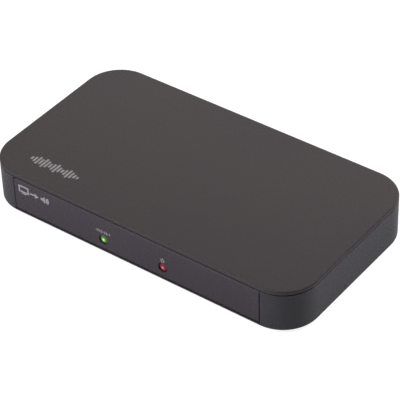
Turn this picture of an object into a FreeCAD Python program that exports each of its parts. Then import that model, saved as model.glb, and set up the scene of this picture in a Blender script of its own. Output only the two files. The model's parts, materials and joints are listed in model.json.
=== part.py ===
import FreeCAD, Part
import os
import re
import Sketcher

Vector = FreeCAD.Vector

# How many there are of what repeats
ventCount = 5
upperContacts = 10
lowerContacts = 9
chipPartRows = 2
chipPartsPerRow = 8

# Driving dimensions, in millimetres
sizes = {
    # case
    "caseWidth": 110.0,
    "caseDepth": 60.7,
    "caseHeight": 14.1,
    "cornerRadius": 11.5,
    "edgeRound": 0.5,
    "bottomRound": 0.8,
    "coverRound": 0.8,
    "wall": 1.6,
    "floorThickness": 1.6,
    "coverThickness": 1.45,
    "seamGap": 0.15,
    "seamRound": 0.15,
    "lipClearance": 0.15,
    "lipThickness": 0.9,
    "lipDepth": 0.8,
    # front and rear panels
    "panelThickness": 1.6,
    "panelEndInset": 0.12,
    "panelLedge": 0.9,
    "panelGap": 0.2,
    "panelTopEdge": 0.9,
    "panelEdge": 0.2,
    "cornerEdge": 0.25,
    "slotClearance": 0.1,
    "ribOverlap": 1.5,
    "ribThickness": 1.2,
    "ribRoot": 2.4,
    "ribSink": 0.5,
    # feet
    "footProud": 1.0,
    "footRecess": 0.6,
    "footRadius": 4.0,
    "footTaper": 0.4,
    "footClearance": 0.1,
    "footInsetX": 18.0,
    "footInsetY": 8.85,
    # case screws, their bosses in the tray and their posts under the cover
    "postInset": 8.25,
    "postRadius": 2.75,
    "bossRadius": 3.4,
    "bossHeight": 3.0,
    "counterboreRadius": 2.5,
    "counterboreDepth": 2.4,
    "caseScrewHead": 2.2,
    "caseScrewHeadHeight": 1.6,
    "caseScrewShank": 1.25,
    "caseScrewLength": 8.0,
    "caseScrewPassage": 1.45,
    "threadClearance": 0.03,
    "pilotSpare": 0.3,
    "crossLength": 2.4,
    "crossWidth": 0.5,
    "crossDepth": 0.9,
    # openings in the floor
    "labelWidth": 46.0,
    "labelDepth": 26.0,
    "labelRecess": 0.2,
    "ventWidth": 1.4,
    "ventLength": 16.0,
    "ventPitch": 3.0,
    "ventStart": 5.0,
    # circuit board, its standoffs and screws
    "boardThickness": 1.6,
    "boardSideGap": 1.2,
    "boardRearGap": 0.5,
    "boardPostGap": 0.5,
    "standoffHeight": 1.3,
    "standoffRadius": 2.5,
    "boardHoleInset": 3.6,
    "boardHoleHalfSpan": 13.0,
    "boardHoleRadius": 1.15,
    "boardScrewHead": 1.9,
    "boardScrewHeadHeight": 1.3,
    "boardScrewShank": 1.0,
    "boardScrewLength": 3.6,
    # indicators
    "ledSpacing": 21.2,
    "ledRadius": 1.5,
    "ledLength": 5.3,
    "ledFlange": 1.0,
    "ledFlangeRadius": 1.9,
    "ledSetback": 0.1,
    "ledHoleClearance": 0.1,
    "ledBoardGap": 0.2,
    "leadThickness": 0.5,
    "leadSpacing": 2.0,
    "leadLength": 3.0,
    # what all the sockets share
    "socketSetback": 0.1,
    "cutoutClearance": 0.2,
    "insertFit": 0.05,
    # video sockets
    "socketWidth": 15.0,
    "socketHeight": 5.45,
    "socketDepth": 11.2,
    "socketWall": 0.4,
    "socketChamferX": 1.9,
    "socketChamferZ": 1.7,
    "socketInsertDepth": 3.2,
    "tongueWidth": 11.0,
    "tongueThickness": 1.2,
    "tongueHeight": 2.75,
    "tongueSetback": 1.2,
    "contactWidth": 0.45,
    "contactThickness": 0.12,
    "contactPitch": 1.0,
    "contactLength": 5.6,
    "legWidth": 1.2,
    "legReach": 0.6,
    "legFront": 3.0,
    "legSpacing": 6.0,
    "legClearance": 0.15,
    # power inlet
    "inletWidth": 8.94,
    "inletHeight": 3.26,
    "inletDepth": 7.35,
    "inletWall": 0.3,
    "inletInsertDepth": 2.0,
    "inletTongueWidth": 6.7,
    "inletTongueThickness": 0.7,
    "inletTongueSetback": 0.8,
    # optical jack
    "opticalWidth": 9.7,
    "opticalHeight": 9.3,
    "opticalDepth": 13.0,
    "opticalFloorGap": 0.5,
    "mouthWidth": 6.3,
    "mouthHeight": 6.2,
    "mouthSill": 1.4,
    "mouthChamfer": 1.0,
    "mouthLip": 0.8,
    "chamberSide": 0.3,
    "chamberDepth": 8.6,
    "chamberRoof": 0.8,
    "fibreHoleRadius": 1.25,
    "earReach": 1.4,
    "earThickness": 1.2,
    "earLength": 6.0,
    "earFront": 4.5,
    "flapOverlap": 0.15,
    "flapThickness": 0.6,
    "flapGap": 0.1,
    "flapAxisRise": 0.3,
    "knuckleRadius": 0.4,
    "pivotRadius": 0.3,
    "pivotClearance": 0.05,
    "pivotLength": 0.6,
    "emitterSize": 5.0,
    "emitterThickness": 2.2,
    "emitterRecess": 0.2,
    "emitterFit": 0.1,
    "emitterLensRadius": 1.1,
    "emitterLensLength": 0.8,
    "pinPitch": 1.27,
    "pinWidth": 0.45,
    "pinReach": 1.5,
    "pinHoleRadius": 0.42,
    "pinBelowBoard": 0.6,
    # sound jack
    "jackWidth": 6.5,
    "jackHeight": 5.0,
    "jackDepth": 11.8,
    "jackPanelGap": 0.2,
    "noseRadius": 2.45,
    "boreRadius": 1.8,
    "boreDepth": 12.5,
    "jackRingRadius": 2.3,
    "jackRingThickness": 0.5,
    "jackRingFit": 0.03,
    # mode switch
    "switchWidth": 8.6,
    "switchHeight": 3.6,
    "switchDepth": 3.8,
    "switchWall": 0.7,
    "switchPanelGap": 0.6,
    "knobWidth": 2.0,
    "knobHeight": 1.7,
    "knobTravel": 2.0,
    "knobClearance": 0.15,
    "knobRecess": 0.3,
    "carriageWidth": 3.8,
    "carriageClearance": 0.1,
    # chips and other parts on the board
    "mainChipSide": 14.0,
    "mainChipHeight": 1.3,
    "mainChipX": 10.0,
    "mainChipY": -1.0,
    "padThickness": 0.5,
    "sinkSide": 20.0,
    "sinkBase": 1.2,
    "sinkHeight": 4.4,
    "finThickness": 0.9,
    "finCount": 7,
    "audioChipWidth": 5.3,
    "audioChipDepth": 7.2,
    "audioChipX": -30.0,
    "audioChipY": 4.0,
    "controllerSide": 7.0,
    "controllerX": -13.0,
    "controllerY": 3.0,
    "memoryWidth": 4.9,
    "memoryDepth": 3.9,
    "memoryX": -13.0,
    "memoryY": -10.0,
    "regulatorWidth": 6.5,
    "regulatorDepth": 3.5,
    "regulatorX": 35.0,
    "regulatorY": 12.0,
    "chipHeight": 1.5,
    "chipChamfer": 0.2,
    "inductorSide": 6.6,
    "inductorHeight": 3.2,
    "inductorRound": 1.6,
    "inductorX": 35.0,
    "inductorY": 4.0,
    "canRadius": 3.15,
    "canHeight": 5.4,
    "canBase": 6.6,
    "canBaseHeight": 0.9,
    "canX": 35.0,
    "canY": -5.0,
    "canPitch": 8.5,
    "crystalLength": 10.8,
    "crystalWidth": 4.4,
    "crystalHeight": 3.5,
    "crystalX": -28.0,
    "crystalY": -9.0,
    "chipPartLength": 2.0,
    "chipPartWidth": 1.25,
    "chipPartHeight": 0.7,
    "chipPartPitch": 3.2,
    "chipPartRowX": -38.0,
    "chipPartInset": 4.75,
}

# Places and lengths that follow from the driving dimensions
places = {
    # heights above the surface that the feet stand on
    "caseBottom": "footProud",
    "caseTop": "footProud + caseHeight",
    "coverBottom": "caseTop - coverThickness",
    "trayTop": "coverBottom - seamGap",
    "floorTop": "footProud + floorThickness",
    "ledgeTop": "footProud + panelLedge",
    "lipBottom": "coverBottom - lipDepth",
    "ribTop": "lipBottom - slotClearance",
    "bossTop": "floorTop + bossHeight",
    "counterboreTop": "caseBottom + counterboreDepth",
    "boardBottom": "floorTop + standoffHeight",
    "boardTop": "boardBottom + boardThickness",
    "ledAxis": "boardTop + leadThickness / 2",
    # across the case
    "rearFace": "caseDepth / 2",
    "frontFace": "-caseDepth / 2",
    "cavityHalfWidth": "caseWidth / 2 - wall",
    "cavityHalfDepth": "caseDepth / 2 - wall",
    "lipInset": "wall + lipClearance",
    "panelHalfWidth": "caseWidth / 2 - cornerRadius - panelEndInset",
    "panelTop": "trayTop - panelGap / 2",
    "slotHalfWidth": "panelHalfWidth + panelGap",
    "slotDepth": "panelThickness + slotClearance",
    "slotFloor": "caseDepth / 2 - slotDepth",
    "postX": "caseWidth / 2 - postInset",
    "postY": "caseDepth / 2 - postInset",
    "footX": "caseWidth / 2 - footInsetX",
    "footY": "caseDepth / 2 - footInsetY",
    # circuit board
    "boardHalfWidth": "cavityHalfWidth - boardSideGap",
    "boardRear": "rearFace - panelThickness - boardRearGap",
    "ledTip": "frontFace + ledSetback",
    "ledBack": "ledTip + ledLength",
    "boardFront": "ledBack + ledBoardGap",
    "boardCutX": "postX - bossRadius - boardPostGap",
    "boardCutY": "postY - bossRadius - boardPostGap",
    "boardStepX": "panelHalfWidth - ribOverlap - boardPostGap",
    "boardStepY": "slotFloor - ribThickness - boardPostGap",
    "boardHoleX": "boardHalfWidth - boardHoleInset",
    "boardPilotDepth": "boardScrewLength - boardThickness + pilotSpare / 2",
    "chipPartRowY": "boardFront + chipPartInset",
    # sockets, spread evenly over the rear panel between its two ribs
    "opticalSpan": "opticalWidth + 2 * earReach",
    "socketsWidth": "inletWidth + 2 * socketWidth + switchWidth + opticalSpan + jackWidth",
    "socketRoom": "2 * (panelHalfWidth - ribOverlap)",
    "socketGap": "(socketRoom - socketsWidth) / 7",
    "inletX": "socketRoom / 2 - socketGap - inletWidth / 2",
    "outputX": "inletX - inletWidth / 2 - socketGap - socketWidth / 2",
    "inputX": "outputX - socketWidth - socketGap",
    "switchX": "inputX - socketWidth / 2 - socketGap - switchWidth / 2",
    "opticalX": "switchX - switchWidth / 2 - socketGap - opticalSpan / 2",
    "jackX": "opticalX - opticalSpan / 2 - socketGap - jackWidth / 2",
    "socketMouth": "rearFace - socketSetback",
    "socketBack": "socketMouth - socketDepth",
    "tongueBottom": "boardTop + tongueHeight - tongueThickness / 2",
    "tongueTop": "boardTop + tongueHeight + tongueThickness / 2",
    "inletAxis": "boardTop + inletHeight / 2",
    "inletBack": "socketMouth - inletDepth",
    # optical jack
    "opticalBottom": "floorTop + opticalFloorGap",
    "opticalTop": "opticalBottom + opticalHeight",
    "opticalBack": "socketMouth - opticalDepth",
    "mouthBottom": "opticalBottom + mouthSill",
    "mouthTop": "mouthBottom + mouthHeight",
    "opticalAxis": "mouthBottom + mouthHeight / 2",
    "chamberFront": "socketMouth - mouthLip",
    "chamberBack": "chamberFront - chamberDepth",
    "chamberHalfWidth": "mouthWidth / 2 + chamberSide",
    "chamberBottom": "mouthBottom - 2 * flapOverlap",
    "chamberTop": "opticalTop - chamberRoof",
    "flapAxisY": "chamberFront - flapGap - knuckleRadius",
    "flapAxisZ": "mouthTop + flapAxisRise",
    "flapHalfWidth": "mouthWidth / 2 + flapOverlap",
    "flapBottom": "mouthBottom - flapOverlap",
    "emitterFront": "opticalBack + emitterRecess + emitterThickness",
    "emitterPinY": "opticalBack + emitterRecess - pinReach + pinWidth / 2",
    # sound jack and mode switch
    "jackFront": "rearFace - panelThickness - jackPanelGap",
    "jackBack": "jackFront - jackDepth",
    "jackAxis": "boardTop + jackHeight / 2",
    "switchFront": "rearFace - panelThickness - switchPanelGap",
    "switchBack": "switchFront - switchDepth",
    "switchAxis": "boardTop + switchHeight / 2",
    "knobX": "switchX + knobTravel / 2",
    "knobSlotHalf": "(knobWidth + knobTravel) / 2 + knobClearance",
}

names = re.compile(r"[A-Za-z]\w*")
nearly = 1e-4

doc = FreeCAD.newDocument("AudioExtractor")
sheet = doc.addObject("Spreadsheet::Sheet", "Sizes")
for row, (alias, size) in enumerate(sizes.items(), 1):
    sheet.set("A%d" % row, str(size))
    sheet.setAlias("A%d" % row, alias)
doc.recompute()

nodes = []


# Formulas

def formula(text):
    """A formula in size names, as an expression on the sheet."""
    def replace(match):
        name = match.group()
        if name in places:
            return "(" + formula(places[name]) + ")"
        if name not in sizes:
            raise KeyError("no size is named " + name)
        return "Sizes." + name
    return names.sub(replace, text)


def value(text):
    """The same formula as a number."""
    def replace(match):
        name = match.group()
        inner = value(places[name]) if name in places else sizes[name]
        return "(%r)" % inner
    return FreeCAD.Units.Quantity(names.sub(replace, text)).Value


def bind(thing, property, text):
    thing.setExpression(property, formula(text))


def around(middle, width):
    """The two ends of a width about a middle."""
    return ("%s - (%s) / 2" % (middle, width), "%s + (%s) / 2" % (middle, width))


def fourCorners(x, y):
    """A place in each quarter of the case, as formulas."""
    return [("%d * %s" % (sx, x), "%d * %s" % (sy, y)) for sx in (-1, 1) for sy in (-1, 1)]


# Sketches: on XY a sketch's axes are X and Y, on XZ they are X and Z, on YZ they are Y and Z

def newBody(label):
    body = doc.addObject("PartDesign::Body", label)
    body.Label = label
    nodes.append(body)
    return body


def newSketch(body, plane, distance):
    sketch = body.newObject("Sketcher::SketchObject", body.Name + "_sketch")
    origin = [item for item in body.Origin.OriginFeatures if item.Role == plane + "_Plane"][0]
    sketch.AttachmentSupport = [(origin, "")]
    sketch.MapMode = "FlatFace"
    # the XZ plane's normal points to -Y
    bind(sketch, "AttachmentOffset.Base.z", ("-(%s)" if plane == "XZ" else "%s") % distance)
    return sketch


def pin(sketch, kind, element, point, text):
    """Hold a point of the sketch at a distance from its origin."""
    index = sketch.addConstraint(Sketcher.Constraint(kind, -1, 1, element, point, value(text)))
    bind(sketch, "Constraints[%d]" % index, text)


def pinPoint(sketch, element, point, x, y):
    pin(sketch, "DistanceX", element, point, x)
    pin(sketch, "DistanceY", element, point, y)


def setRadius(sketch, element, text):
    index = sketch.addConstraint(Sketcher.Constraint("Radius", element, value(text)))
    bind(sketch, "Constraints[%d]" % index, text)


def polygon(sketch, corners):
    points = [Vector(value(x), value(y), 0) for x, y in corners]
    count = len(points)
    lines = [Part.LineSegment(points[i], points[(i + 1) % count]) for i in range(count)]
    first = sketch.addGeometry(lines, False)[0]
    for i in range(count):
        sketch.addConstraint(Sketcher.Constraint("Coincident", first + i, 2, first + (i + 1) % count, 1))
        pinPoint(sketch, first + i, 1, *corners[i])


def rectangle(sketch, across, up):
    polygon(sketch, [(across[0], up[0]), (across[1], up[0]), (across[1], up[1]), (across[0], up[1])])


def circle(sketch, x, y, radius):
    round = Part.Circle(Vector(value(x), value(y), 0), Vector(0, 0, 1), value(radius))
    element = sketch.addGeometry(round, False)
    pinPoint(sketch, element, 3, x, y)
    setRadius(sketch, element, radius)


def stadium(sketch, x, y, length, width, upright=False):
    """A slot with round ends, about the point x, y."""
    radius = value(width) / 2
    reach = "(%s - %s) / 2" % (length, width)
    offset = Vector(0, value(reach), 0) if upright else Vector(value(reach), 0, 0)
    side = Vector(-radius, 0, 0) if upright else Vector(0, radius, 0)
    middle = Vector(value(x), value(y), 0)
    low, high = middle - offset, middle + offset
    forward = offset * (1 / offset.Length) * radius
    first = sketch.addGeometry([
        Part.LineSegment(low - side, high - side),
        Part.Arc(high - side, high + forward, high + side),
        Part.LineSegment(high + side, low + side),
        Part.Arc(low + side, low - forward, low - side),
    ], False)[0]
    ends = [(first, 2, first + 1, 1), (first + 1, 2, first + 2, 1),
            (first + 2, 2, first + 3, 1), (first + 3, 2, first, 1)]
    for end in ends:
        sketch.addConstraint(Sketcher.Constraint("Tangent", *end))
    for element, sign in ((first + 1, "+"), (first + 3, "-")):
        farX = x if upright else "%s %s %s" % (x, sign, reach)
        farY = "%s %s %s" % (y, sign, reach) if upright else y
        pinPoint(sketch, element, 3, farX, farY)
    setRadius(sketch, first + 1, "(%s) / 2" % width)


def roundedRectangle(sketch, halfWidth, halfDepth, radius):
    """A rectangle about the origin with a quarter circle at each corner."""
    x, y, r = value(halfWidth), value(halfDepth), value(radius)
    turn = r * (1 - 0.5 ** 0.5)
    elements = []
    for sx, sy in ((1, -1), (1, 1), (-1, 1), (-1, -1)):
        alongX = Vector(sx * (x - r), sy * y, 0)
        alongY = Vector(sx * x, sy * (y - r), 0)
        start, end = (alongX, alongY) if sx * sy < 0 else (alongY, alongX)
        elements.append(Part.Arc(start, Vector(sx * (x - turn), sy * (y - turn), 0), end))
    corners = list(sketch.addGeometry(elements, False))
    for index, (sx, sy) in enumerate(((1, -1), (1, 1), (-1, 1), (-1, -1))):
        pinPoint(sketch, corners[index], 3, "%d * (%s - (%s))" % (sx, halfWidth, radius),
                 "%d * (%s - (%s))" % (sy, halfDepth, radius))
        setRadius(sketch, corners[index], radius)
    for index in range(4):
        following = (index + 1) % 4
        ends = (sketch.getPoint(corners[index], 2), sketch.getPoint(corners[following], 1))
        side = sketch.addGeometry(Part.LineSegment(*ends), False)
        sketch.addConstraint(Sketcher.Constraint("Tangent", corners[index], 2, side, 1))
        sketch.addConstraint(Sketcher.Constraint("Tangent", side, 2, corners[following], 1))


# Features: along is 1 in the direction of the sketch's normal and -1 against it

def pad(body, sketch, length, along=1):
    feature = body.newObject("PartDesign::Pad", body.Name + "_pad")
    feature.Profile = sketch
    feature.Reversed = along < 0
    bind(feature, "Length", length)
    doc.recompute()
    return feature


def pocket(body, sketch, length, along):
    before = body.Shape.Volume
    feature = body.newObject("PartDesign::Pocket", body.Name + "_pocket")
    feature.Profile = sketch
    feature.Reversed = along > 0
    bind(feature, "Length", length)
    doc.recompute()
    if not body.Shape.Volume < before - nearly:
        raise ValueError(body.Label + ": a pocket cuts nothing")
    return feature


def fillet(body, feature, edges, radius, kind="Fillet"):
    rounding = body.newObject("PartDesign::" + kind, body.Name + "_edge")
    rounding.Base = (feature, edges)
    bind(rounding, "Radius" if kind == "Fillet" else "Size", radius)
    doc.recompute()
    if "Invalid" in rounding.State:
        raise ValueError(body.Label + ": an edge can't be eased by " + radius)
    return rounding


def edgesWhere(feature, *tests):
    """Names of the edges that pass every test."""
    edges = enumerate(feature.Shape.Edges, 1)
    return ["Edge%d" % number for number, edge in edges if all(test(edge) for test in tests)]


def isUpright(edge):
    box = edge.BoundBox
    return box.XLength < nearly and box.YLength < nearly


def liesAt(axis, place):
    """A test for edges in the plane where X, Y or Z has a given value."""
    def test(edge):
        box = edge.BoundBox
        low = (box.XMin, box.YMin, box.ZMin)[axis]
        high = (box.XMax, box.YMax, box.ZMax)[axis]
        return abs(low - place) < nearly and abs(high - place) < nearly
    return test


# Plain solids

def block(label, across, deep, up):
    solid = doc.addObject("Part::Box", label)
    for side, (low, high) in (("Length", across), ("Width", deep), ("Height", up)):
        bind(solid, side, "(%s) - (%s)" % (high, low))
    placeAt(solid, across[0], deep[0], up[0])
    return solid


def placeAt(solid, x, y, z):
    bind(solid, "Placement.Base.x", x)
    bind(solid, "Placement.Base.y", y)
    bind(solid, "Placement.Base.z", z)


def disc(label, x, y, up, radius):
    """A cylinder that stands upright."""
    solid = doc.addObject("Part::Cylinder", label)
    bind(solid, "Radius", radius)
    bind(solid, "Height", "(%s) - (%s)" % (up[1], up[0]))
    placeAt(solid, x, y, up[0])
    return solid


def rod(label, x, z, deep, radius):
    """A cylinder that lies along Y."""
    solid = doc.addObject("Part::Cylinder", label)
    solid.Placement.Rotation = FreeCAD.Rotation(Vector(1, 0, 0), -90)
    bind(solid, "Radius", radius)
    bind(solid, "Height", "(%s) - (%s)" % (deep[1], deep[0]))
    placeAt(solid, x, deep[0], z)
    return solid


def fuse(label, solids):
    joined = doc.addObject("Part::MultiFuse", label)
    joined.Shapes = solids
    joined.Refine = True
    return joined


def cut(label, base, tool):
    rest = doc.addObject("Part::Cut", label)
    rest.Base = base
    rest.Tool = tool
    return rest


def group(label, solids):
    """Alike pieces that lie apart, as one node."""
    gathered = doc.addObject("Part::Compound", label)
    gathered.Links = solids
    return keep(gathered, label)


def keep(thing, label):
    thing.Label = label
    nodes.append(thing)
    return thing


# Case

def makeTopCover():
    body = newBody("top_cover")
    outline = newSketch(body, "XY", "coverBottom")
    roundedRectangle(outline, "caseWidth / 2", "caseDepth / 2", "cornerRadius")
    plate = pad(body, outline, "coverThickness")
    rim = fillet(body, plate, edgesWhere(plate, liesAt(2, value("caseTop"))), "edgeRound")
    fillet(body, rim, edgesWhere(rim, liesAt(2, value("coverBottom"))), "coverRound")

    lip = newSketch(body, "XY", "coverBottom")
    for inset in ("lipInset", "(lipInset + lipThickness)"):
        roundedRectangle(lip, "(caseWidth / 2 - %s)" % inset, "(caseDepth / 2 - %s)" % inset,
                         "(cornerRadius - %s)" % inset)
    pad(body, lip, "lipDepth", along=-1)

    posts = newSketch(body, "XY", "coverBottom")
    for x, y in fourCorners("postX", "postY"):
        circle(posts, x, y, "postRadius")
    pad(body, posts, "coverBottom - bossTop", along=-1)

    holes = newSketch(body, "XY", "bossTop")
    for x, y in fourCorners("postX", "postY"):
        circle(holes, x, y, "caseScrewShank + threadClearance")
    pocket(body, holes, "counterboreTop + caseScrewLength - bossTop + pilotSpare", along=1)


def makeBaseTray():
    body = newBody("base_tray")
    outline = newSketch(body, "XY", "caseBottom")
    roundedRectangle(outline, "caseWidth / 2", "caseDepth / 2", "cornerRadius")
    outside = pad(body, outline, "trayTop - caseBottom")
    bottom = fillet(body, outside, edgesWhere(outside, liesAt(2, value("caseBottom"))), "bottomRound")
    fillet(body, bottom, edgesWhere(bottom, liesAt(2, value("trayTop"))), "seamRound")

    cavity = newSketch(body, "XY", "floorTop")
    roundedRectangle(cavity, "cavityHalfWidth", "cavityHalfDepth", "(cornerRadius - wall)")
    pocket(body, cavity, "trayTop - floorTop", along=1)

    # the front and rear panels stand on a thin ledge, between the bevelled ends of the side walls
    slots = newSketch(body, "XY", "ledgeTop")
    for sy in (-1, 1):
        outside = "%d * (rearFace + wall)" % sy
        face = "%d * rearFace" % sy
        bevel = "%d * (rearFace - cornerEdge)" % sy
        back = "%d * slotFloor" % sy
        right = [("slotHalfWidth", back), ("slotHalfWidth", bevel), ("slotHalfWidth + cornerEdge", face),
                 ("slotHalfWidth + cornerEdge", outside)]
        left = [("-(%s)" % x, y) for x, y in reversed(right)]
        polygon(slots, right + left)
    pocket(body, slots, "trayTop - ledgeTop", along=1)

    # ribs behind the panels' ends
    ribs = newSketch(body, "XY", "floorTop")
    for sx in (-1, 1):
        for sy in (-1, 1):
            near = "%d * (panelHalfWidth - ribOverlap)" % sx
            end = "%d * slotHalfWidth" % sx
            far = "%d * (slotHalfWidth + ribRoot)" % sx
            back = "%d * (slotFloor - ribThickness)" % sy
            face = "%d * slotFloor" % sy
            root = "%d * (cavityHalfDepth + ribSink)" % sy
            polygon(ribs, [(near, back), (far, back), (far, root), (end, root), (end, face), (near, face)])
    pad(body, ribs, "ribTop - floorTop")

    bosses = newSketch(body, "XY", "floorTop")
    for x, y in fourCorners("postX", "postY"):
        circle(bosses, x, y, "bossRadius")
    pad(body, bosses, "bossHeight")
    standoffs = newSketch(body, "XY", "floorTop")
    for x, y in fourCorners("boardHoleX", "boardHoleHalfSpan"):
        circle(standoffs, x, y, "standoffRadius")
    pad(body, standoffs, "standoffHeight")

    counterbores = newSketch(body, "XY", "caseBottom")
    passages = newSketch(body, "XY", "caseBottom")
    for x, y in fourCorners("postX", "postY"):
        circle(counterbores, x, y, "counterboreRadius")
        circle(passages, x, y, "caseScrewPassage")
    pocket(body, counterbores, "counterboreDepth", along=1)
    pocket(body, passages, "bossTop - caseBottom", along=1)

    pilots = newSketch(body, "XY", "boardBottom")
    for x, y in fourCorners("boardHoleX", "boardHoleHalfSpan"):
        circle(pilots, x, y, "boardScrewShank + threadClearance")
    pocket(body, pilots, "boardPilotDepth", along=-1)

    footSketch = newSketch(body, "XY", "caseBottom")
    for x, y in fourCorners("footX", "footY"):
        circle(footSketch, x, y, "footRadius + footClearance")
    pocket(body, footSketch, "footRecess", along=1)
    label = newSketch(body, "XY", "caseBottom")
    rectangle(label, around("0", "labelWidth"), around("0", "labelDepth"))
    pocket(body, label, "labelRecess", along=1)

    vents = newSketch(body, "XY", "caseBottom")
    for sx in (-1, 1):
        for step in range(ventCount):
            x = "%d * (labelWidth / 2 + ventStart + %d * ventPitch)" % (sx, step)
            stadium(vents, x, "0", "ventLength", "ventWidth", upright=True)
    pocket(body, vents, "floorThickness", along=1)


def startPanel(label, face, inward, bottomEdge):
    """A panel that stands on the tray's ledge, with its outer edges eased."""
    body = newBody(label)
    outline = newSketch(body, "XZ", face)
    rectangle(outline, around("0", "2 * panelHalfWidth"), ("ledgeTop", "panelTop"))
    plate = pad(body, outline, "panelThickness", along=inward)
    inFace = liesAt(1, value(face))
    eased = fillet(body, plate, edgesWhere(plate, inFace, liesAt(2, value("panelTop"))), "panelTopEdge")
    eased = fillet(body, eased, edgesWhere(eased, inFace, liesAt(2, value("ledgeTop"))), bottomEdge)
    fillet(body, eased, edgesWhere(eased, inFace, isUpright), "panelEdge")
    return body


def makeFrontPanel():
    body = startPanel("front_panel", "frontFace", -1, "panelTopEdge")
    holes = newSketch(body, "XZ", "frontFace")
    for side in (-1, 1):
        circle(holes, "%d * ledSpacing / 2" % side, "ledAxis", "ledRadius + ledHoleClearance")
    pocket(body, holes, "panelThickness", along=-1)


def makeRearPanel():
    body = startPanel("rear_panel", "rearFace", 1, "panelEdge")
    holes = newSketch(body, "XZ", "rearFace")
    socketProfile(holes, "outputX", "cutoutClearance")
    socketProfile(holes, "inputX", "cutoutClearance")
    stadium(holes, "inletX", "inletAxis", "(inletWidth + 2 * cutoutClearance)",
            "(inletHeight + 2 * cutoutClearance)")
    rectangle(holes, around("opticalX", "opticalWidth + 2 * cutoutClearance"),
              ("opticalBottom - cutoutClearance", "opticalTop + cutoutClearance"))
    circle(holes, "jackX", "jackAxis", "noseRadius + cutoutClearance")
    rectangle(holes, around("switchX", "2 * knobSlotHalf"),
              around("switchAxis", "knobHeight + 2 * knobClearance"))
    pocket(body, holes, "panelThickness", along=1)


def makeFeet():
    feet = []
    for number, (x, y) in enumerate(fourCorners("footX", "footY"), 1):
        seat = disc("foot_seat_%d" % number, x, y, ("footProud", "footProud + footRecess"), "footRadius")
        tread = doc.addObject("Part::Cone", "foot_tread_%d" % number)
        bind(tread, "Radius1", "footRadius - footTaper")
        bind(tread, "Radius2", "footRadius")
        bind(tread, "Height", "footProud")
        placeAt(tread, x, y, "0")
        feet.append(fuse("foot_%d" % number, [seat, tread]))
    group("rubber_feet", feet)


def makeScrew(label, x, y, seat, pointing, name):
    """A screw whose head bears on the height called seat: pointing is 1 for up and -1 for down."""
    headEnd = "%s - %d * %sHeadHeight" % (seat, pointing, name)
    tip = "%s + %d * %sLength" % (seat, pointing, name)
    crossEnd = "%s + %d * crossDepth" % (headEnd, pointing)
    order = 1 if pointing > 0 else -1
    head = disc(label + "_head", x, y, (headEnd, seat)[::order], name + "Head")
    shank = disc(label + "_shank", x, y, (seat, tip)[::order], name + "Shank")
    crossUp = (headEnd, crossEnd)[::order]
    bars = [
        block(label + "_bar_x", around(x, "crossLength"), around(y, "crossWidth"), crossUp),
        block(label + "_bar_y", around(x, "crossWidth"), around(y, "crossLength"), crossUp),
    ]
    return cut(label, fuse(label + "_blank", [head, shank]), fuse(label + "_cross", bars))


def makeScrews():
    caseScrews = []
    for number, (x, y) in enumerate(fourCorners("postX", "postY"), 1):
        caseScrews.append(makeScrew("case_screw_%d" % number, x, y, "counterboreTop", 1, "caseScrew"))
    group("case_screws", caseScrews)
    boardScrews = []
    for number, (x, y) in enumerate(fourCorners("boardHoleX", "boardHoleHalfSpan"), 1):
        boardScrews.append(makeScrew("board_screw_%d" % number, x, y, "boardTop", -1, "boardScrew"))
    group("board_screws", boardScrews)


# Circuit board and indicators

def makeBoard():
    body = newBody("circuit_board")
    outline = newSketch(body, "XY", "boardBottom")
    # the right half, from front to rear, clear of the posts and then of the rib behind the rear panel
    right = [
        ("boardCutX", "boardFront"), ("boardCutX", "-boardCutY"), ("boardHalfWidth", "-boardCutY"),
        ("boardHalfWidth", "boardCutY"), ("boardCutX", "boardCutY"), ("boardCutX", "boardStepY"),
        ("boardStepX", "boardStepY"), ("boardStepX", "boardRear"),
    ]
    polygon(outline, right + [("-" + x, y) for x, y in reversed(right)])
    pad(body, outline, "boardThickness")

    openings = newSketch(body, "XY", "boardBottom")
    for x, y in fourCorners("boardHoleX", "boardHoleHalfSpan"):
        circle(openings, x, y, "boardHoleRadius")
    for socket in ("outputX", "inputX"):
        for x, y in legPlaces(socket):
            rectangle(openings, around(x, "socketWall + 2 * legClearance"),
                      around(y, "legWidth + 2 * legClearance"))
    for step in (-1, 0, 1):
        circle(openings, "opticalX + %d * pinPitch" % step, "emitterPinY", "pinHoleRadius")
    rectangle(openings, around("opticalX", "opticalWidth + 2 * cutoutClearance"),
              ("opticalBack - cutoutClearance", "boardRear + cutoutClearance"))
    pocket(body, openings, "boardThickness", along=1)


def makeIndicators():
    leads = []
    for name, side in (("green_led", -1), ("red_led", 1)):
        x = "%d * ledSpacing / 2" % side
        flange = rod(name + "_flange", x, "ledAxis", ("ledBack - ledFlange", "ledBack"), "ledFlangeRadius")
        stem = rod(name + "_stem", x, "ledAxis", ("ledTip + ledRadius", "ledBack"), "ledRadius")
        dome = doc.addObject("Part::Sphere", name + "_dome")
        bind(dome, "Radius", "ledRadius")
        placeAt(dome, x, "ledTip + ledRadius", "ledAxis")
        keep(fuse(name, [flange, stem, dome]), name)
        for end in (-1, 1):
            leads.append(block("%s_lead_%d" % (name, len(leads) + 1),
                               around("%s + %d * leadSpacing / 2" % (x, end), "leadThickness"),
                               ("ledBack", "ledBack + leadLength"), ("boardTop", "boardTop + leadThickness")))
    group("led_leads", leads)


# Video sockets and power inlet

def socketProfile(sketch, x, grow):
    """The socket's outline, wide at the top and with its lower corners cut off, grown by a length."""
    half = "(socketWidth / 2 + %s)" % grow
    foot = "(socketWidth / 2 - socketChamferX)"
    top = "boardTop + socketHeight + " + grow
    shoulder = "boardTop + socketChamferZ"
    bottom = "boardTop - " + grow
    polygon(sketch, [
        ("%s - %s" % (x, foot), bottom), ("%s + %s" % (x, foot), bottom), ("%s + %s" % (x, half), shoulder),
        ("%s + %s" % (x, half), top), ("%s - %s" % (x, half), top), ("%s - %s" % (x, half), shoulder),
    ])


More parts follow.
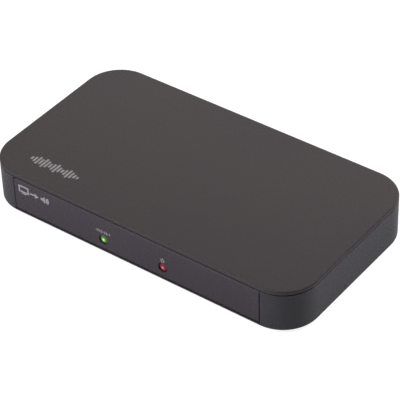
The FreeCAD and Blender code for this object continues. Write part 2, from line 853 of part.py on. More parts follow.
def legPlaces(x):
    """The middles of a socket's four legs, which stand under its side walls."""
    side = "(socketWidth - socketWall) / 2"
    rows = ("socketMouth - legFront", "socketMouth - legFront - legSpacing")
    return [("%s + %d * %s" % (x, sign, side), y) for sign in (-1, 1) for y in rows]


def makeVideoSocket(name, x):
    shell = newBody(name + "_shell")
    outline = newSketch(shell, "XZ", "socketMouth")
    socketProfile(outline, x, "0")
    pad(shell, outline, "socketDepth")
    bore = newSketch(shell, "XZ", "socketMouth")
    socketProfile(bore, x, "(-socketWall)")
    pocket(shell, bore, "socketDepth", along=1)
    legs = newSketch(shell, "XY", "boardBottom - legReach")
    for legX, legY in legPlaces(x):
        rectangle(legs, around(legX, "socketWall"), around(legY, "legWidth"))
    pad(shell, legs, "boardThickness + legReach + 2 * socketChamferZ")

    insert = newBody(name + "_insert")
    plug = newSketch(insert, "XZ", "socketBack")
    socketProfile(plug, x, "(-socketWall - insertFit)")
    pad(insert, plug, "socketInsertDepth", along=-1)
    tongue = newSketch(insert, "XZ", "socketBack + socketInsertDepth")
    rectangle(tongue, around(x, "tongueWidth"), ("tongueBottom", "tongueTop"))
    pad(insert, tongue, "socketDepth - socketInsertDepth - tongueSetback", along=-1)

    root = "socketBack + socketInsertDepth"
    contacts = []
    rows = ((upperContacts, ("tongueTop", "tongueTop + contactThickness")),
            (lowerContacts, ("tongueBottom - contactThickness", "tongueBottom")))
    for count, up in rows:
        for number in range(count):
            place = "%s + %s * contactPitch" % (x, number - (count - 1) / 2)
            contacts.append(block("%s_contact_%d" % (name, len(contacts) + 1), around(place, "contactWidth"),
                                  (root, root + " + contactLength"), up))
    group(name + "_contacts", contacts)


def makePowerInlet():
    shell = newBody("power_inlet_shell")
    outline = newSketch(shell, "XZ", "socketMouth")
    stadium(outline, "inletX", "inletAxis", "inletWidth", "inletHeight")
    pad(shell, outline, "inletDepth")
    bore = newSketch(shell, "XZ", "socketMouth")
    stadium(bore, "inletX", "inletAxis", "(inletWidth - 2 * inletWall)", "(inletHeight - 2 * inletWall)")
    pocket(shell, bore, "inletDepth", along=1)

    insert = newBody("power_inlet_insert")
    plug = newSketch(insert, "XZ", "inletBack")
    inset = "2 * (inletWall + insertFit)"
    stadium(plug, "inletX", "inletAxis", "(inletWidth - %s)" % inset, "(inletHeight - %s)" % inset)
    pad(insert, plug, "inletInsertDepth", along=-1)
    tongue = newSketch(insert, "XZ", "inletBack + inletInsertDepth")
    rectangle(tongue, around("inletX", "inletTongueWidth"), around("inletAxis", "inletTongueThickness"))
    pad(insert, tongue, "inletDepth - inletInsertDepth - inletTongueSetback", along=-1)


# Optical jack

def makeOpticalJack():
    housing = newBody("optical_jack_housing")
    outline = newSketch(housing, "XZ", "socketMouth")
    rectangle(outline, around("opticalX", "opticalWidth"), ("opticalBottom", "opticalTop"))
    pad(housing, outline, "opticalDepth")
    ears = newSketch(housing, "XY", "boardTop")
    rectangle(ears, around("opticalX", "opticalSpan"),
              ("socketMouth - earFront - earLength", "socketMouth - earFront"))
    pad(housing, ears, "earThickness")

    mouth = newSketch(housing, "XZ", "socketMouth")
    left, right = around("opticalX", "mouthWidth")
    polygon(mouth, [
        (left, "mouthBottom"), (right, "mouthBottom"), (right, "mouthTop - mouthChamfer"),
        (right + " - mouthChamfer", "mouthTop"), (left + " + mouthChamfer", "mouthTop"),
        (left, "mouthTop - mouthChamfer"),
    ])
    pocket(housing, mouth, "mouthLip", along=1)
    chamber = newSketch(housing, "XZ", "chamberFront")
    rectangle(chamber, around("opticalX", "2 * chamberHalfWidth"), ("chamberBottom", "chamberTop"))
    pocket(housing, chamber, "chamberDepth", along=1)
    fibre = newSketch(housing, "XZ", "chamberBack")
    circle(fibre, "opticalX", "opticalAxis", "fibreHoleRadius")
    pocket(housing, fibre, "chamberBack - emitterFront", along=1)
    seat = newSketch(housing, "XZ", "opticalBack")
    rectangle(seat, around("opticalX", "emitterSize + 2 * emitterFit"),
              around("opticalAxis", "emitterSize + 2 * emitterFit"))
    pocket(housing, seat, "emitterFront - opticalBack", along=-1)
    pivotSpan = "2 * (flapHalfWidth + pivotLength + pivotClearance)"
    bearing = newSketch(housing, "YZ", "opticalX - (%s) / 2" % pivotSpan)
    circle(bearing, "flapAxisY", "flapAxisZ", "pivotRadius + pivotClearance")
    pocket(housing, bearing, pivotSpan, along=1)

    flap = newBody("optical_jack_flap")
    plate = newSketch(flap, "XZ", "flapAxisY + flapThickness / 2")
    rectangle(plate, around("opticalX", "2 * flapHalfWidth"), ("flapBottom", "flapAxisZ"))
    pad(flap, plate, "flapThickness")
    for radius, reach in (("knuckleRadius", "flapHalfWidth"), ("pivotRadius", "(flapHalfWidth + pivotLength)")):
        barrel = newSketch(flap, "YZ", "opticalX - " + reach)
        circle(barrel, "flapAxisY", "flapAxisZ", radius)
        pad(flap, barrel, "2 * " + reach)

    package = block("emitter_package", around("opticalX", "emitterSize"),
                    ("opticalBack + emitterRecess", "emitterFront"), around("opticalAxis", "emitterSize"))
    lens = rod("emitter_lens", "opticalX", "opticalAxis",
               ("emitterFront", "emitterFront + emitterLensLength"), "emitterLensRadius")
    keep(fuse("optical_emitter", [package, lens]), "optical_emitter")

    pins = []
    for number, step in enumerate((-1, 0, 1), 1):
        across = around("opticalX + %d * pinPitch" % step, "pinWidth")
        upright = block("pin_%d_upright" % number, across, around("emitterPinY", "pinWidth"),
                        ("boardBottom - pinBelowBoard", "opticalAxis"))
        bend = block("pin_%d_bend" % number, across,
                     ("emitterPinY - pinWidth / 2", "opticalBack + emitterRecess"),
                     ("opticalAxis - pinWidth", "opticalAxis"))
        pins.append(fuse("optical_pin_%d" % number, [upright, bend]))
    group("optical_emitter_pins", pins)


# Sound jack and mode switch

def makeSoundJack():
    case = block("jack_case", around("jackX", "jackWidth"), ("jackBack", "jackFront"),
                 ("boardTop", "boardTop + jackHeight"))
    nose = rod("jack_nose", "jackX", "jackAxis", ("jackBack", "socketMouth"), "noseRadius")
    bore = rod("jack_bore", "jackX", "jackAxis", ("socketMouth - boreDepth", "rearFace"), "boreRadius")
    seat = rod("jack_ring_seat", "jackX", "jackAxis",
               ("socketMouth - jackRingThickness", "rearFace"), "jackRingRadius + jackRingFit")
    body = cut("audio_jack_body", fuse("jack_blank", [case, nose]), fuse("jack_hollow", [bore, seat]))
    keep(body, "audio_jack_body")

    outer = rod("jack_ring_outer", "jackX", "jackAxis",
                ("socketMouth - jackRingThickness", "socketMouth"), "jackRingRadius")
    inner = rod("jack_ring_inner", "jackX", "jackAxis",
                ("socketMouth - jackRingThickness", "socketMouth"), "boreRadius")
    keep(cut("audio_jack_ring", outer, inner), "audio_jack_ring")


def makeModeSwitch():
    case = block("switch_case", around("switchX", "switchWidth"), ("switchBack", "switchFront"),
                 ("boardTop", "boardTop + switchHeight"))
    cavity = block("switch_cavity", around("switchX", "carriageWidth + knobTravel + 2 * knobClearance"),
                   ("switchBack + switchWall", "switchFront - switchWall"),
                   ("boardTop", "boardTop + switchHeight - switchWall"))
    slot = block("switch_slot", around("switchX", "2 * knobSlotHalf"), ("switchBack + switchWall", "switchFront"),
                 around("switchAxis", "knobHeight + 2 * knobClearance"))
    housing = cut("mode_switch_housing", case, fuse("switch_hollow", [cavity, slot]))
    keep(housing, "mode_switch_housing")

    carriage = block("knob_carriage", around("knobX", "carriageWidth"),
                     ("switchBack + switchWall + carriageClearance",
                      "switchFront - switchWall - carriageClearance"),
                     ("boardTop + carriageClearance", "boardTop + switchHeight - switchWall - carriageClearance"))
    stem = block("knob_stem", around("knobX", "knobWidth"),
                 ("switchFront - switchWall - carriageClearance", "rearFace - knobRecess"),
                 around("switchAxis", "knobHeight"))
    keep(fuse("mode_switch_knob", [carriage, stem]), "mode_switch_knob")


# Parts on the board

def makeChip(label, x, y, width, depth, height):
    body = newBody(label)
    outline = newSketch(body, "XY", "boardTop")
    rectangle(outline, around(x, width), around(y, depth))
    case = pad(body, outline, height)
    rim = edgesWhere(case, liesAt(2, value("boardTop + " + height)))
    fillet(body, case, rim, "chipChamfer", kind="Chamfer")


def makeCooling():
    chipTop = "boardTop + mainChipHeight"
    padTop = chipTop + " + padThickness"
    keep(block("thermal_pad", around("mainChipX", "mainChipSide"), around("mainChipY", "mainChipSide"),
               (chipTop, padTop)), "thermal_pad")
    sink = newBody("heat_sink")
    base = newSketch(sink, "XY", padTop)
    rectangle(base, around("mainChipX", "sinkSide"), around("mainChipY", "sinkSide"))
    pad(sink, base, "sinkBase")
    finSketch = newSketch(sink, "XY", padTop + " + sinkBase")
    left = "mainChipX - sinkSide / 2"
    rectangle(finSketch, (left, left + " + finThickness"), around("mainChipY", "sinkSide"))
    fin = pad(sink, finSketch, "sinkHeight - sinkBase")
    fins = sink.newObject("PartDesign::LinearPattern", "fins")
    fins.Originals = [fin]
    fins.Direction = (finSketch, ["H_Axis"])
    bind(fins, "Length", "sinkSide - finThickness")
    bind(fins, "Occurrences", "finCount")
    sink.Tip = fins
    doc.recompute()


def makeSmallParts():
    choke = newBody("power_inductor")
    outline = newSketch(choke, "XY", "boardTop")
    rectangle(outline, around("inductorX", "inductorSide"), around("inductorY", "inductorSide"))
    core = pad(choke, outline, "inductorHeight")
    fillet(choke, core, edgesWhere(core, isUpright), "inductorRound")

    cans = []
    for number in range(3):
        y = "canY - %d * canPitch" % (number % 2)
        x = "canX - %d * canPitch" % (number // 2)
        base = block("can_base_%d" % number, around(x, "canBase"), around(y, "canBase"),
                     ("boardTop", "boardTop + canBaseHeight"))
        can = disc("can_%d" % number, x, y, ("boardTop", "boardTop + canHeight"), "canRadius")
        cans.append(fuse("capacitor_%d" % (number + 1), [base, can]))
    group("capacitors", cans)

    crystal = newBody("crystal")
    oval = newSketch(crystal, "XY", "boardTop")
    stadium(oval, "crystalX", "crystalY", "crystalLength", "crystalWidth")
    can = pad(crystal, oval, "crystalHeight")
    rim = edgesWhere(can, liesAt(2, value("boardTop + crystalHeight")))
    fillet(crystal, can, rim, "edgeRound")

    chips = []
    for row in range(chipPartRows):
        for step in range(chipPartsPerRow):
            x = "chipPartRowX + %d * chipPartPitch" % step
            y = "chipPartRowY + %d * chipPartPitch" % row
            chips.append(block("chip_part_%d" % (len(chips) + 1), around(x, "chipPartLength"),
                               around(y, "chipPartWidth"), ("boardTop", "boardTop + chipPartHeight")))
    group("chip_parts", chips)


makeTopCover()
makeBaseTray()
makeFrontPanel()
makeRearPanel()
makeFeet()
makeScrews()
makeBoard()
makeIndicators()
makeVideoSocket("video_input", "inputX")
makeVideoSocket("video_output", "outputX")
makePowerInlet()
makeOpticalJack()
makeSoundJack()
makeModeSwitch()
makeChip("main_chip", "mainChipX", "mainChipY", "mainChipSide", "mainChipSide", "mainChipHeight")
makeCooling()
makeChip("audio_chip", "audioChipX", "audioChipY", "audioChipWidth", "audioChipDepth", "chipHeight")
makeChip("controller_chip", "controllerX", "controllerY", "controllerSide", "controllerSide", "chipHeight")
makeChip("memory_chip", "memoryX", "memoryY", "memoryWidth", "memoryDepth", "chipHeight")
makeChip("regulator", "regulatorX", "regulatorY", "regulatorWidth", "regulatorDepth", "chipHeight")
makeSmallParts()

# Everything is checked before anything is written
doc.recompute()
for thing in doc.Objects:
    if "Invalid" in thing.State or "Error" in thing.State:
        raise ValueError(thing.Name + " failed: " + str(thing.State))
for node in nodes:
    if node.Shape.isNull() or not node.Shape.isValid() or not node.Shape.Solids:
        raise ValueError(node.Label + " has no valid solid")

os.makedirs("parts", exist_ok=True)
for node in nodes:
    node.Shape.exportStep("parts/%s.step" % node.Label)
    box = node.Shape.BoundBox
    print("%-24s %2d solids  %8.2f mm3  z %.2f to %.2f" % (
        node.Label, len(node.Shape.Solids), node.Shape.Volume, box.ZMin, box.ZMax))
print(len(nodes), "nodes")
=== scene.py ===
import json
import math

import bmesh
import bpy
from mathutils import Matrix, Vector
from mathutils.geometry import tessellate_polygon


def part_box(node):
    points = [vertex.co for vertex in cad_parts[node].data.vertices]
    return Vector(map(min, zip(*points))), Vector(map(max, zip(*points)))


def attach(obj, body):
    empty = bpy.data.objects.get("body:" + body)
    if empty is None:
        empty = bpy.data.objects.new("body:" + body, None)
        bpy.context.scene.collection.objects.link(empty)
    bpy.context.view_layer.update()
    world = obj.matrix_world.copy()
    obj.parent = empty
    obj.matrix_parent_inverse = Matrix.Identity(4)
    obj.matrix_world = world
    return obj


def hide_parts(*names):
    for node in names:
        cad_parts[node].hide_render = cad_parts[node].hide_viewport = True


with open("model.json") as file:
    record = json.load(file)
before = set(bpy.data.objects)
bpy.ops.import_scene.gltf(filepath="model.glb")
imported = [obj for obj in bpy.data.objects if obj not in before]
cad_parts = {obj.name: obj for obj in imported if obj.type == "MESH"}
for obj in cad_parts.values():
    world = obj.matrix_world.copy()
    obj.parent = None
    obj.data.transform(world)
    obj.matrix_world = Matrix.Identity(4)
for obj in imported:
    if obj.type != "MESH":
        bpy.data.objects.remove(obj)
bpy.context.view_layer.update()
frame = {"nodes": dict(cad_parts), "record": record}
nodes = frame["nodes"]
mm = 0.001
scene = bpy.context.scene
print("frame loaded:", len(nodes), "nodes")


# camera, where the photographer's stood: some 0.6 m away, looking down over the near right corner

cameraLook = {
    "azimuth": 37.764,                      # degrees round from the front
    "elevation": 39.054,                    # degrees up
    "roll": -1.898,
    "place": (276.85, -356.01, 370.84),     # mm
    "lens": 179.28,                         # mm, for a sensor of this width
    "sensor": 36.0,
    "clip": (0.01, 20.0),                   # m
}


def towards(turn, lift):
    # the way to something as seen from the part: degrees round from the front, and degrees up
    turn, lift = math.radians(turn), math.radians(lift)
    return Vector((math.sin(turn) * math.cos(lift), -math.cos(turn) * math.cos(lift), math.sin(lift)))


def turnedCamera(look):
    back, roll = towards(look["azimuth"], look["elevation"]), math.radians(look["roll"])
    level = Vector((0, 0, 1)).cross(back).normalized()
    upright = back.cross(level)
    right = math.cos(roll) * level + math.sin(roll) * upright
    up = math.cos(roll) * upright - math.sin(roll) * level
    return Matrix((right, up, back)).transposed().to_4x4()


cameraData = bpy.data.cameras.new("photoCamera")
cameraData.lens = cameraLook["lens"]
cameraData.sensor_width = cameraLook["sensor"]
cameraData.clip_start, cameraData.clip_end = cameraLook["clip"]
camera = bpy.data.objects.new("photoCamera", cameraData)
camera.matrix_world = Matrix.Translation(Vector(cameraLook["place"]) * mm) @ turnedCamera(cameraLook)
scene.collection.objects.link(camera)
scene.camera = camera
scene.view_settings.view_transform = "Standard"
print("camera placed")


# materials

noiseSpan = {"From Min": 0.3, "From Max": 0.7}      # nearly all values of a noise texture lie in here
grainDetail, cloudDetail = 2.0, 3.0


def toLinear(hexText):
    channels = [int(hexText[at:at + 2], 16) / 255 for at in (1, 3, 5)]
    return [c / 12.92 if c <= 0.04045 else ((c + 0.055) / 1.055) ** 2.4 for c in channels] + [1.0]


def addNode(tree, kind, settings=None, links=None):
    # a setting or link is named as the node names it, or given the number of its socket
    node = tree.nodes.new(kind)
    for name, value in (settings or {}).items():
        if hasattr(node, str(name)):
            setattr(node, name, value)
        else:
            node.inputs[name].default_value = value
    for name, source in (links or {}).items():
        tree.links.new(source, node.inputs[name])
    return node


def newMaterial(name):
    material = bpy.data.materials.new(name)
    material.use_nodes = True
    material.node_tree.nodes.clear()
    return material, material.node_tree


def paintedLightEdges(tree, colour, coordinates, edges):
    # edges and ledges painted paler or darker, as painted highlights and painted shade, found by how far the
    # surface looks up, from -1 to 1
    facing = addNode(tree, "ShaderNodeNewGeometry").outputs["Normal"]
    upwards = addNode(tree, "ShaderNodeSeparateXYZ", links={0: facing}).outputs["Z"]
    for edge in edges:
        share = addNode(tree, "ShaderNodeMapRange", {"From Min": edge["from"], "From Max": edge["full"]},
                        {"Value": upwards}).outputs["Result"]
        if "below" in edge:
            height = addNode(tree, "ShaderNodeSeparateXYZ", links={0: coordinates}).outputs["Z"]
            low = addNode(tree, "ShaderNodeMath", {"operation": "LESS_THAN", 1: edge["below"] * mm},
                          {0: height})
            share = addNode(tree, "ShaderNodeMath", {"operation": "MULTIPLY"},
                            {0: share, 1: low.outputs[0]}).outputs[0]
        colour = addNode(tree, "ShaderNodeMix", {"data_type": "RGBA", 7: toLinear(edge["colour"])},
                         {0: share, 6: colour}).outputs[2]
    return colour


def finishOf(name, look):
    # one surface: a colour that clouds slowly towards a second, and a grain that moves roughness and bump
    material, tree = newMaterial(name)
    coordinates = addNode(tree, "ShaderNodeTexCoord").outputs["Object"]
    stretched = addNode(tree, "ShaderNodeMapping", {"Scale": look.get("stretch", (1, 1, 1))},
                        {"Vector": coordinates}).outputs["Vector"]
    grain = addNode(tree, "ShaderNodeTexNoise", {"Scale": 1 / (look["grain"] * mm), "Detail": grainDetail},
                    {"Vector": stretched}).outputs["Fac"]
    cloud = addNode(tree, "ShaderNodeTexNoise", {"Scale": 1 / (look["cloud"] * mm), "Detail": cloudDetail},
                    {"Vector": coordinates}).outputs["Fac"]
    spread = addNode(tree, "ShaderNodeMapRange", noiseSpan, {"Value": cloud})
    colours = {6: toLinear(look["colour"]), 7: toLinear(look["shade"])}
    colour = addNode(tree, "ShaderNodeMix", {"data_type": "RGBA", **colours},
                     {0: spread.outputs["Result"]}).outputs[2]
    # painted highlights and painted shade along edges, where a finish lists them
    if "edges" in look:
        colour = paintedLightEdges(tree, colour, coordinates, look["edges"])
    smoothest, roughest = look["roughness"]
    rough = addNode(tree, "ShaderNodeMapRange", {**noiseSpan, "To Min": smoothest, "To Max": roughest},
                    {"Value": grain})
    bump = addNode(tree, "ShaderNodeBump", {"Strength": 1.0, "Distance": look["depth"] * mm},
                   {"Height": grain})
    shader = addNode(tree, "ShaderNodeBsdfPrincipled", look["shader"],
                     {"Base Color": colour, "Roughness": rough.outputs["Result"],
                      "Normal": bump.outputs["Normal"]})
    addNode(tree, "ShaderNodeOutputMaterial", links={"Surface": shader.outputs["BSDF"]})
    return material


# grain, depth, cloud and below are in mm.
# The real grain of the ABS is about 0.1 mm; it is drawn up to three times as coarse, so that it shows.
mouldedAbs = {"roughness": (0.25, 0.31), "grain": 0.3, "depth": 0.002, "cloud": 34,
              "shader": {"IOR": 1.5, "Specular IOR Level": 0.4}}
screenPrinted = {"roughness": (0.5, 0.65), "grain": 0.12, "depth": 0.003, "cloud": 1.2,
                 "shader": {"IOR": 1.5}}
finishes = {
    # ABS, moulded against a spark-eroded tool: dark and satin, with an even grain.
    # The lid's rim is painted paler than its top, as painted light, and palest where it turns under, as a
    # painted highlight.
    "sparkErodedAbs": {**mouldedAbs, "colour": "#2e2929", "shade": "#2b2728",
                       "edges": [{"colour": "#403d40", "from": 0.5, "full": 0.1},
                                 {"colour": "#7a777b", "from": -0.1, "full": -0.7}]},
    # the tray's batch of it: a little colder than the lid, with painted shade on its low upward-facing ledges
    "sparkErodedTrayAbs": {**mouldedAbs, "colour": "#413f44", "shade": "#3e3c41",
                           "edges": [{"colour": "#2e2c30", "from": 0.2, "full": 0.8, "below": 4}]},
    # ABS panels from a finer tool: smoother, with a touch of violet; their top edges are painted darker, as
    # painted shade
    "satinMouldedAbs": {**mouldedAbs, "colour": "#443e46", "shade": "#413b43", "grain": 0.25, "depth": 0.0014,
                        "cloud": 26, "edges": [{"colour": "#29252b", "from": 0.15, "full": 0.7}]},
    # nitrile rubber, pressed in a blasted mould: nearly black and dull, with a dusty bloom
    "mouldedNitrile": {"colour": "#1c1c1d", "shade": "#262526", "roughness": (0.7, 0.9), "grain": 0.2,
                       "depth": 0.02, "cloud": 3, "shader": {"IOR": 1.52}},
    # rolled steel with black zinc plating: a dark metal with dull patches
    "blackZincSteel": {"colour": "#3e3e41", "shade": "#2c2c2f", "roughness": (0.3, 0.44), "grain": 0.15,
                       "depth": 0.004, "cloud": 1.5, "shader": {"Metallic": 1.0}},
    # glass fibre and epoxy laminate under green solder mask: glossy, the weave shows faintly
    "maskedLaminate": {"colour": "#0f4a2c", "shade": "#0c3d25", "roughness": (0.22, 0.32), "grain": 0.6,
                       "depth": 0.01, "cloud": 6, "shader": {"IOR": 1.55}},
    # hot-tinned brass: soft bright metal with a slight ripple
    "hotTinnedBrass": {"colour": "#c9c9c6", "shade": "#b2b2b0", "roughness": (0.25, 0.4), "grain": 0.2,
                       "depth": 0.006, "cloud": 1.5, "shader": {"Metallic": 1.0}},
    # nickel-plated steel strip, stamped and folded: warm grey, with the rolling lines along it
    "rolledNickelSteel": {"colour": "#cfcac1", "shade": "#bdb8b0", "roughness": (0.2, 0.32), "grain": 0.15,
                          "stretch": (1, 0.12, 1), "depth": 0.003, "cloud": 4, "shader": {"Metallic": 1.0}},
    # glass-filled nylon, moulded: black, and dull where the fibres come near the surface
    "mouldedNylon": {"colour": "#222224", "shade": "#1b1b1d", "roughness": (0.42, 0.6), "grain": 0.15,
                     "stretch": (1, 0.4, 1), "depth": 0.005, "cloud": 2, "shader": {"IOR": 1.53}},
    # phosphor bronze with a flash of gold: smooth and warm
    "goldFlashedBronze": {"colour": "#e2bb6a", "shade": "#d3a957", "roughness": (0.15, 0.26), "grain": 0.1,
                          "depth": 0.001, "cloud": 1, "shader": {"Metallic": 1.0}},
    # PBT jack bodies, moulded: black with an even low sheen
    "mouldedPbt": {"colour": "#262628", "shade": "#202022", "roughness": (0.4, 0.52), "grain": 0.18,
                   "depth": 0.004, "cloud": 3, "shader": {"IOR": 1.55}},
    # acetal flap, moulded in a polished tool: the smoothest of the black plastics
    "polishedAcetal": {"colour": "#303033", "shade": "#2a2a2d", "roughness": (0.3, 0.4), "grain": 0.18,
                       "depth": 0.002, "cloud": 3, "shader": {"IOR": 1.48}},
    # acetal knob, rubbed by fingers: shinier in patches
    "rubbedAcetal": {"colour": "#242426", "shade": "#1f1f21", "roughness": (0.34, 0.5), "grain": 0.15,
                     "depth": 0.004, "cloud": 0.8, "shader": {"IOR": 1.48}},
    # epoxy moulding compound with silica in it: dark grey and sandy
    "silicaEpoxy": {"colour": "#2a2a2c", "shade": "#242426", "roughness": (0.5, 0.65), "grain": 0.12,
                    "depth": 0.006, "cloud": 2.5, "shader": {"IOR": 1.55}},
    # extruded aluminium: pale metal with die lines along the fins
    "extrudedAluminium": {"colour": "#b6b8bc", "shade": "#a4a6aa", "roughness": (0.35, 0.5), "grain": 0.2,
                          "stretch": (1, 0.08, 1), "depth": 0.004, "cloud": 5, "shader": {"Metallic": 1.0}},
    # filled silicone sheet: chalky blue grey
    "filledSilicone": {"colour": "#93a2b0", "shade": "#8696a5", "roughness": (0.6, 0.75), "grain": 0.3,
                       "depth": 0.01, "cloud": 3, "shader": {"IOR": 1.41}},
    # iron powder, pressed with resin: dark, coarse and dull
    "pressedIronPowder": {"colour": "#3b3b3d", "shade": "#323234", "roughness": (0.6, 0.75), "grain": 0.2,
                          "depth": 0.012, "cloud": 2, "shader": {"IOR": 1.6}},
    # deep-drawn aluminium cans: bright, with draw lines up the side
    "drawnAluminium": {"colour": "#d2d3d5", "shade": "#c3c4c6", "roughness": (0.22, 0.34), "grain": 0.2,
                       "stretch": (1, 1, 0.1), "depth": 0.002, "cloud": 3, "shader": {"Metallic": 1.0}},
    # fired barium titanate: biscuit brown, dull
    "firedCeramic": {"colour": "#8d7a60", "shade": "#7d6b53", "roughness": (0.45, 0.6), "grain": 0.15,
                     "depth": 0.004, "cloud": 1, "shader": {"IOR": 1.6}},
    # epoxy ink, screen-printed: pale grey, a little uneven where the mesh of the screen was
    "screenPrintedInk": {**screenPrinted, "colour": "#a4a0a6", "shade": "#98949a"},
    # the lid's ink is mixed greyer, so it shows less
    "screenPrintedGreyInk": {**screenPrinted, "colour": "#6f6c6e", "shade": "#656264"},
}
finishOfSlot = {
    "case_plastic": "sparkErodedTrayAbs", "panel_plastic": "satinMouldedAbs", "foot_rubber": "mouldedNitrile",
    "screw_steel": "blackZincSteel", "board_laminate": "maskedLaminate", "tinned_metal": "hotTinnedBrass",
    "nickel_shell": "rolledNickelSteel", "insert_plastic": "mouldedNylon", "contact_gold": "goldFlashedBronze",
    "jack_plastic": "mouldedPbt", "flap_plastic": "polishedAcetal", "knob_plastic": "rubbedAcetal",
    "chip_epoxy": "silicaEpoxy", "sink_aluminium": "extrudedAluminium", "thermal_silicone": "filledSilicone",
    "choke_ferrite": "pressedIronPowder", "can_aluminium": "drawnAluminium", "ceramic_body": "firedCeramic",
    "red_epoxy": "litRedEpoxy", "green_epoxy": "litGreenEpoxy",
}

lampPlaces = {"green": (-10.6, 5.75), "red": (10.6, 5.75)}      # mm, across and up, of each indicator's axis
castEpoxy = {"roughness": 0.24, "ior": 1.53, "chalk": 0.25, "depth": 0.002}     # the last two in mm
litLenses = {
    # epoxy, cast with dye and chalk in it and lit from behind: a pale core in a dark ring.
    # The glow is by the distance from the lamp's axis, in mm.
    "litRedEpoxy": {"axis": lampPlaces["red"], "body": "#3a1416",
                    "glow": ((0.0, "#f0a8aa"), (0.3, "#c05a5c"), (0.6, "#7a282b"), (0.95, "#4a1c1f"),
                             (1.5, "#3a181a"))},
    "litGreenEpoxy": {"axis": lampPlaces["green"], "body": "#26361c",
                      "glow": ((0.0, "#f6ffdf"), (0.3, "#bcf098"), (0.6, "#5f8a44"), (0.95, "#3c5c2a"),
                               (1.5, "#2c421f"))},
}


def lensFinish(name, look):
    material, tree = newMaterial(name)
    coordinates = addNode(tree, "ShaderNodeTexCoord").outputs["Object"]
    across, up = look["axis"]
    centred = addNode(tree, "ShaderNodeMapping",
                      {"Location": (-across, 0, -up), "Scale": (1 / mm, 0, 1 / mm)},
                      {"Vector": coordinates}).outputs["Vector"]
    radius = addNode(tree, "ShaderNodeVectorMath", {"operation": "LENGTH"}, {0: centred}).outputs["Value"]
    reach = look["glow"][-1][0]
    share = addNode(tree, "ShaderNodeMapRange", {"From Max": reach}, {"Value": radius}).outputs["Result"]
    ramp = addNode(tree, "ShaderNodeValToRGB", links={"Fac": share})
    stops = ramp.color_ramp.elements
    while len(stops) < len(look["glow"]):
        stops.new(0.5)
    for stop, (distance, colour) in zip(stops, look["glow"]):
        stop.position = distance / reach
        stop.color = toLinear(colour)
    chalk = addNode(tree, "ShaderNodeTexNoise",
                    {"Scale": 1 / (castEpoxy["chalk"] * mm), "Detail": grainDetail},
                    {"Vector": coordinates}).outputs["Fac"]
    bump = addNode(tree, "ShaderNodeBump", {"Strength": 1.0, "Distance": castEpoxy["depth"] * mm},
                   {"Height": chalk})
    shader = addNode(tree, "ShaderNodeBsdfPrincipled",
                     {"Base Color": toLinear(look["body"]), "Roughness": castEpoxy["roughness"],
                      "IOR": castEpoxy["ior"], "Emission Strength": 1.0},
                     {"Emission Color": ramp.outputs["Color"], "Normal": bump.outputs["Normal"]})
    addNode(tree, "ShaderNodeOutputMaterial", links={"Surface": shader.outputs["BSDF"]})
    return material


materials = {name: finishOf(name, look) for name, look in finishes.items()}
materials.update({name: lensFinish(name, look) for name, look in litLenses.items()})
for part in frame["record"]["subparts"]:
    node = nodes[part["node"]]
    node.data.materials.clear()
    node.data.materials.append(materials[finishOfSlot[part["material_slot"]]])
nodes["top_cover"].data.materials[0] = materials["sparkErodedAbs"]
print("materials made:", len(materials))


# shapes, in mm: each is a list of corners and a list of faces

sharpestMitre = 0.3     # a corner sharper than this cosine moves out no further
fullCircle = 48         # steps round a turned shape


def at(a, b, level, along):
    return {"x": (level, a, b), "y": (a, level, b), "z": (a, b, level)}[along]


def loft(rings, loop=False):
    # a closed skin over rings of equal count, capped at its ends unless the last ring meets the first
    count, last = len(rings[0]), len(rings) - 1
    pairs = [(number, number + 1) for number in range(last)] + ([(last, 0)] if loop else [])
    faces = [(near * count + i, near * count + (i + 1) % count,
              far * count + (i + 1) % count, far * count + i) for near, far in pairs for i in range(count)]
    if not loop:
        faces += [tuple(range(count)), tuple(range(last * count, (last + 1) * count))]
    return [corner for ring in rings for corner in ring], faces


def ringAt(outline, level, along):
    return [at(a, b, level, along) for a, b in outline]


def prism(outline, low, high, along):
    return loft([ringAt(outline, low, along), ringAt(outline, high, along)])


def circle(centre, radius, steps=fullCircle):
    turns = [2 * math.pi * step / steps for step in range(steps)]
    return [(centre[0] + radius * math.cos(turn), centre[1] + radius * math.sin(turn)) for turn in turns]


def turned(centre, profile, along, steps=fullCircle, loop=False):
    # a lathe: the profile's points are radius and level
    return loft([ringAt(circle(centre, radius, steps), level, along) for radius, level in profile], loop)


def rectangle(x0, x1, z0, z1):
    return [(x0, z0), (x1, z0), (x1, z1), (x0, z1)]


def block(low, high):
    (x0, y0, z0), (x1, y1, z1) = low, high
    return prism(rectangle(x0, x1, y0, y1), z0, z1, "z")


def offsetPath(path, distance, closed=True):
    # a path moved sideways, with mitred corners
    points, moved = [Vector(point) for point in path], []
    for number, point in enumerate(points):
        before = points[number - 1] if closed or number else None
        after = points[(number + 1) % len(points)] if closed or number + 1 < len(points) else None
        ways = [point - before] if before else []
        ways = [way.normalized() for way in ways + ([after - point] if after else [])]
        sides = [Vector((-way.y, way.x)) for way in ways]
        middle = sum(sides, Vector((0, 0))).normalized()
        moved.append(tuple(point + middle * distance / max(middle.dot(sides[0]), sharpestMitre)))
    return moved


def roundedPath(corners, radius, steps=5):
    # a closed outline whose corners are arcs
    outline = []
    for before, corner, after in zip(corners[-1:] + corners[:-1], corners, corners[1:] + corners[:1]):
        corner = Vector(corner)
        inward, onward = (Vector(before) - corner).normalized(), (Vector(after) - corner).normalized()
        half = inward.angle(onward) / 2
        centre = corner + (inward + onward).normalized() * radius / math.sin(half)
        start = corner + inward * radius / math.tan(half) - centre
        end = corner + onward * radius / math.tan(half) - centre
        for step in range(steps + 1):
            spoke = (start.lerp(end, step / steps)).normalized() * radius
            outline.append(tuple(centre + spoke))
    return outline


# meshes and pieces

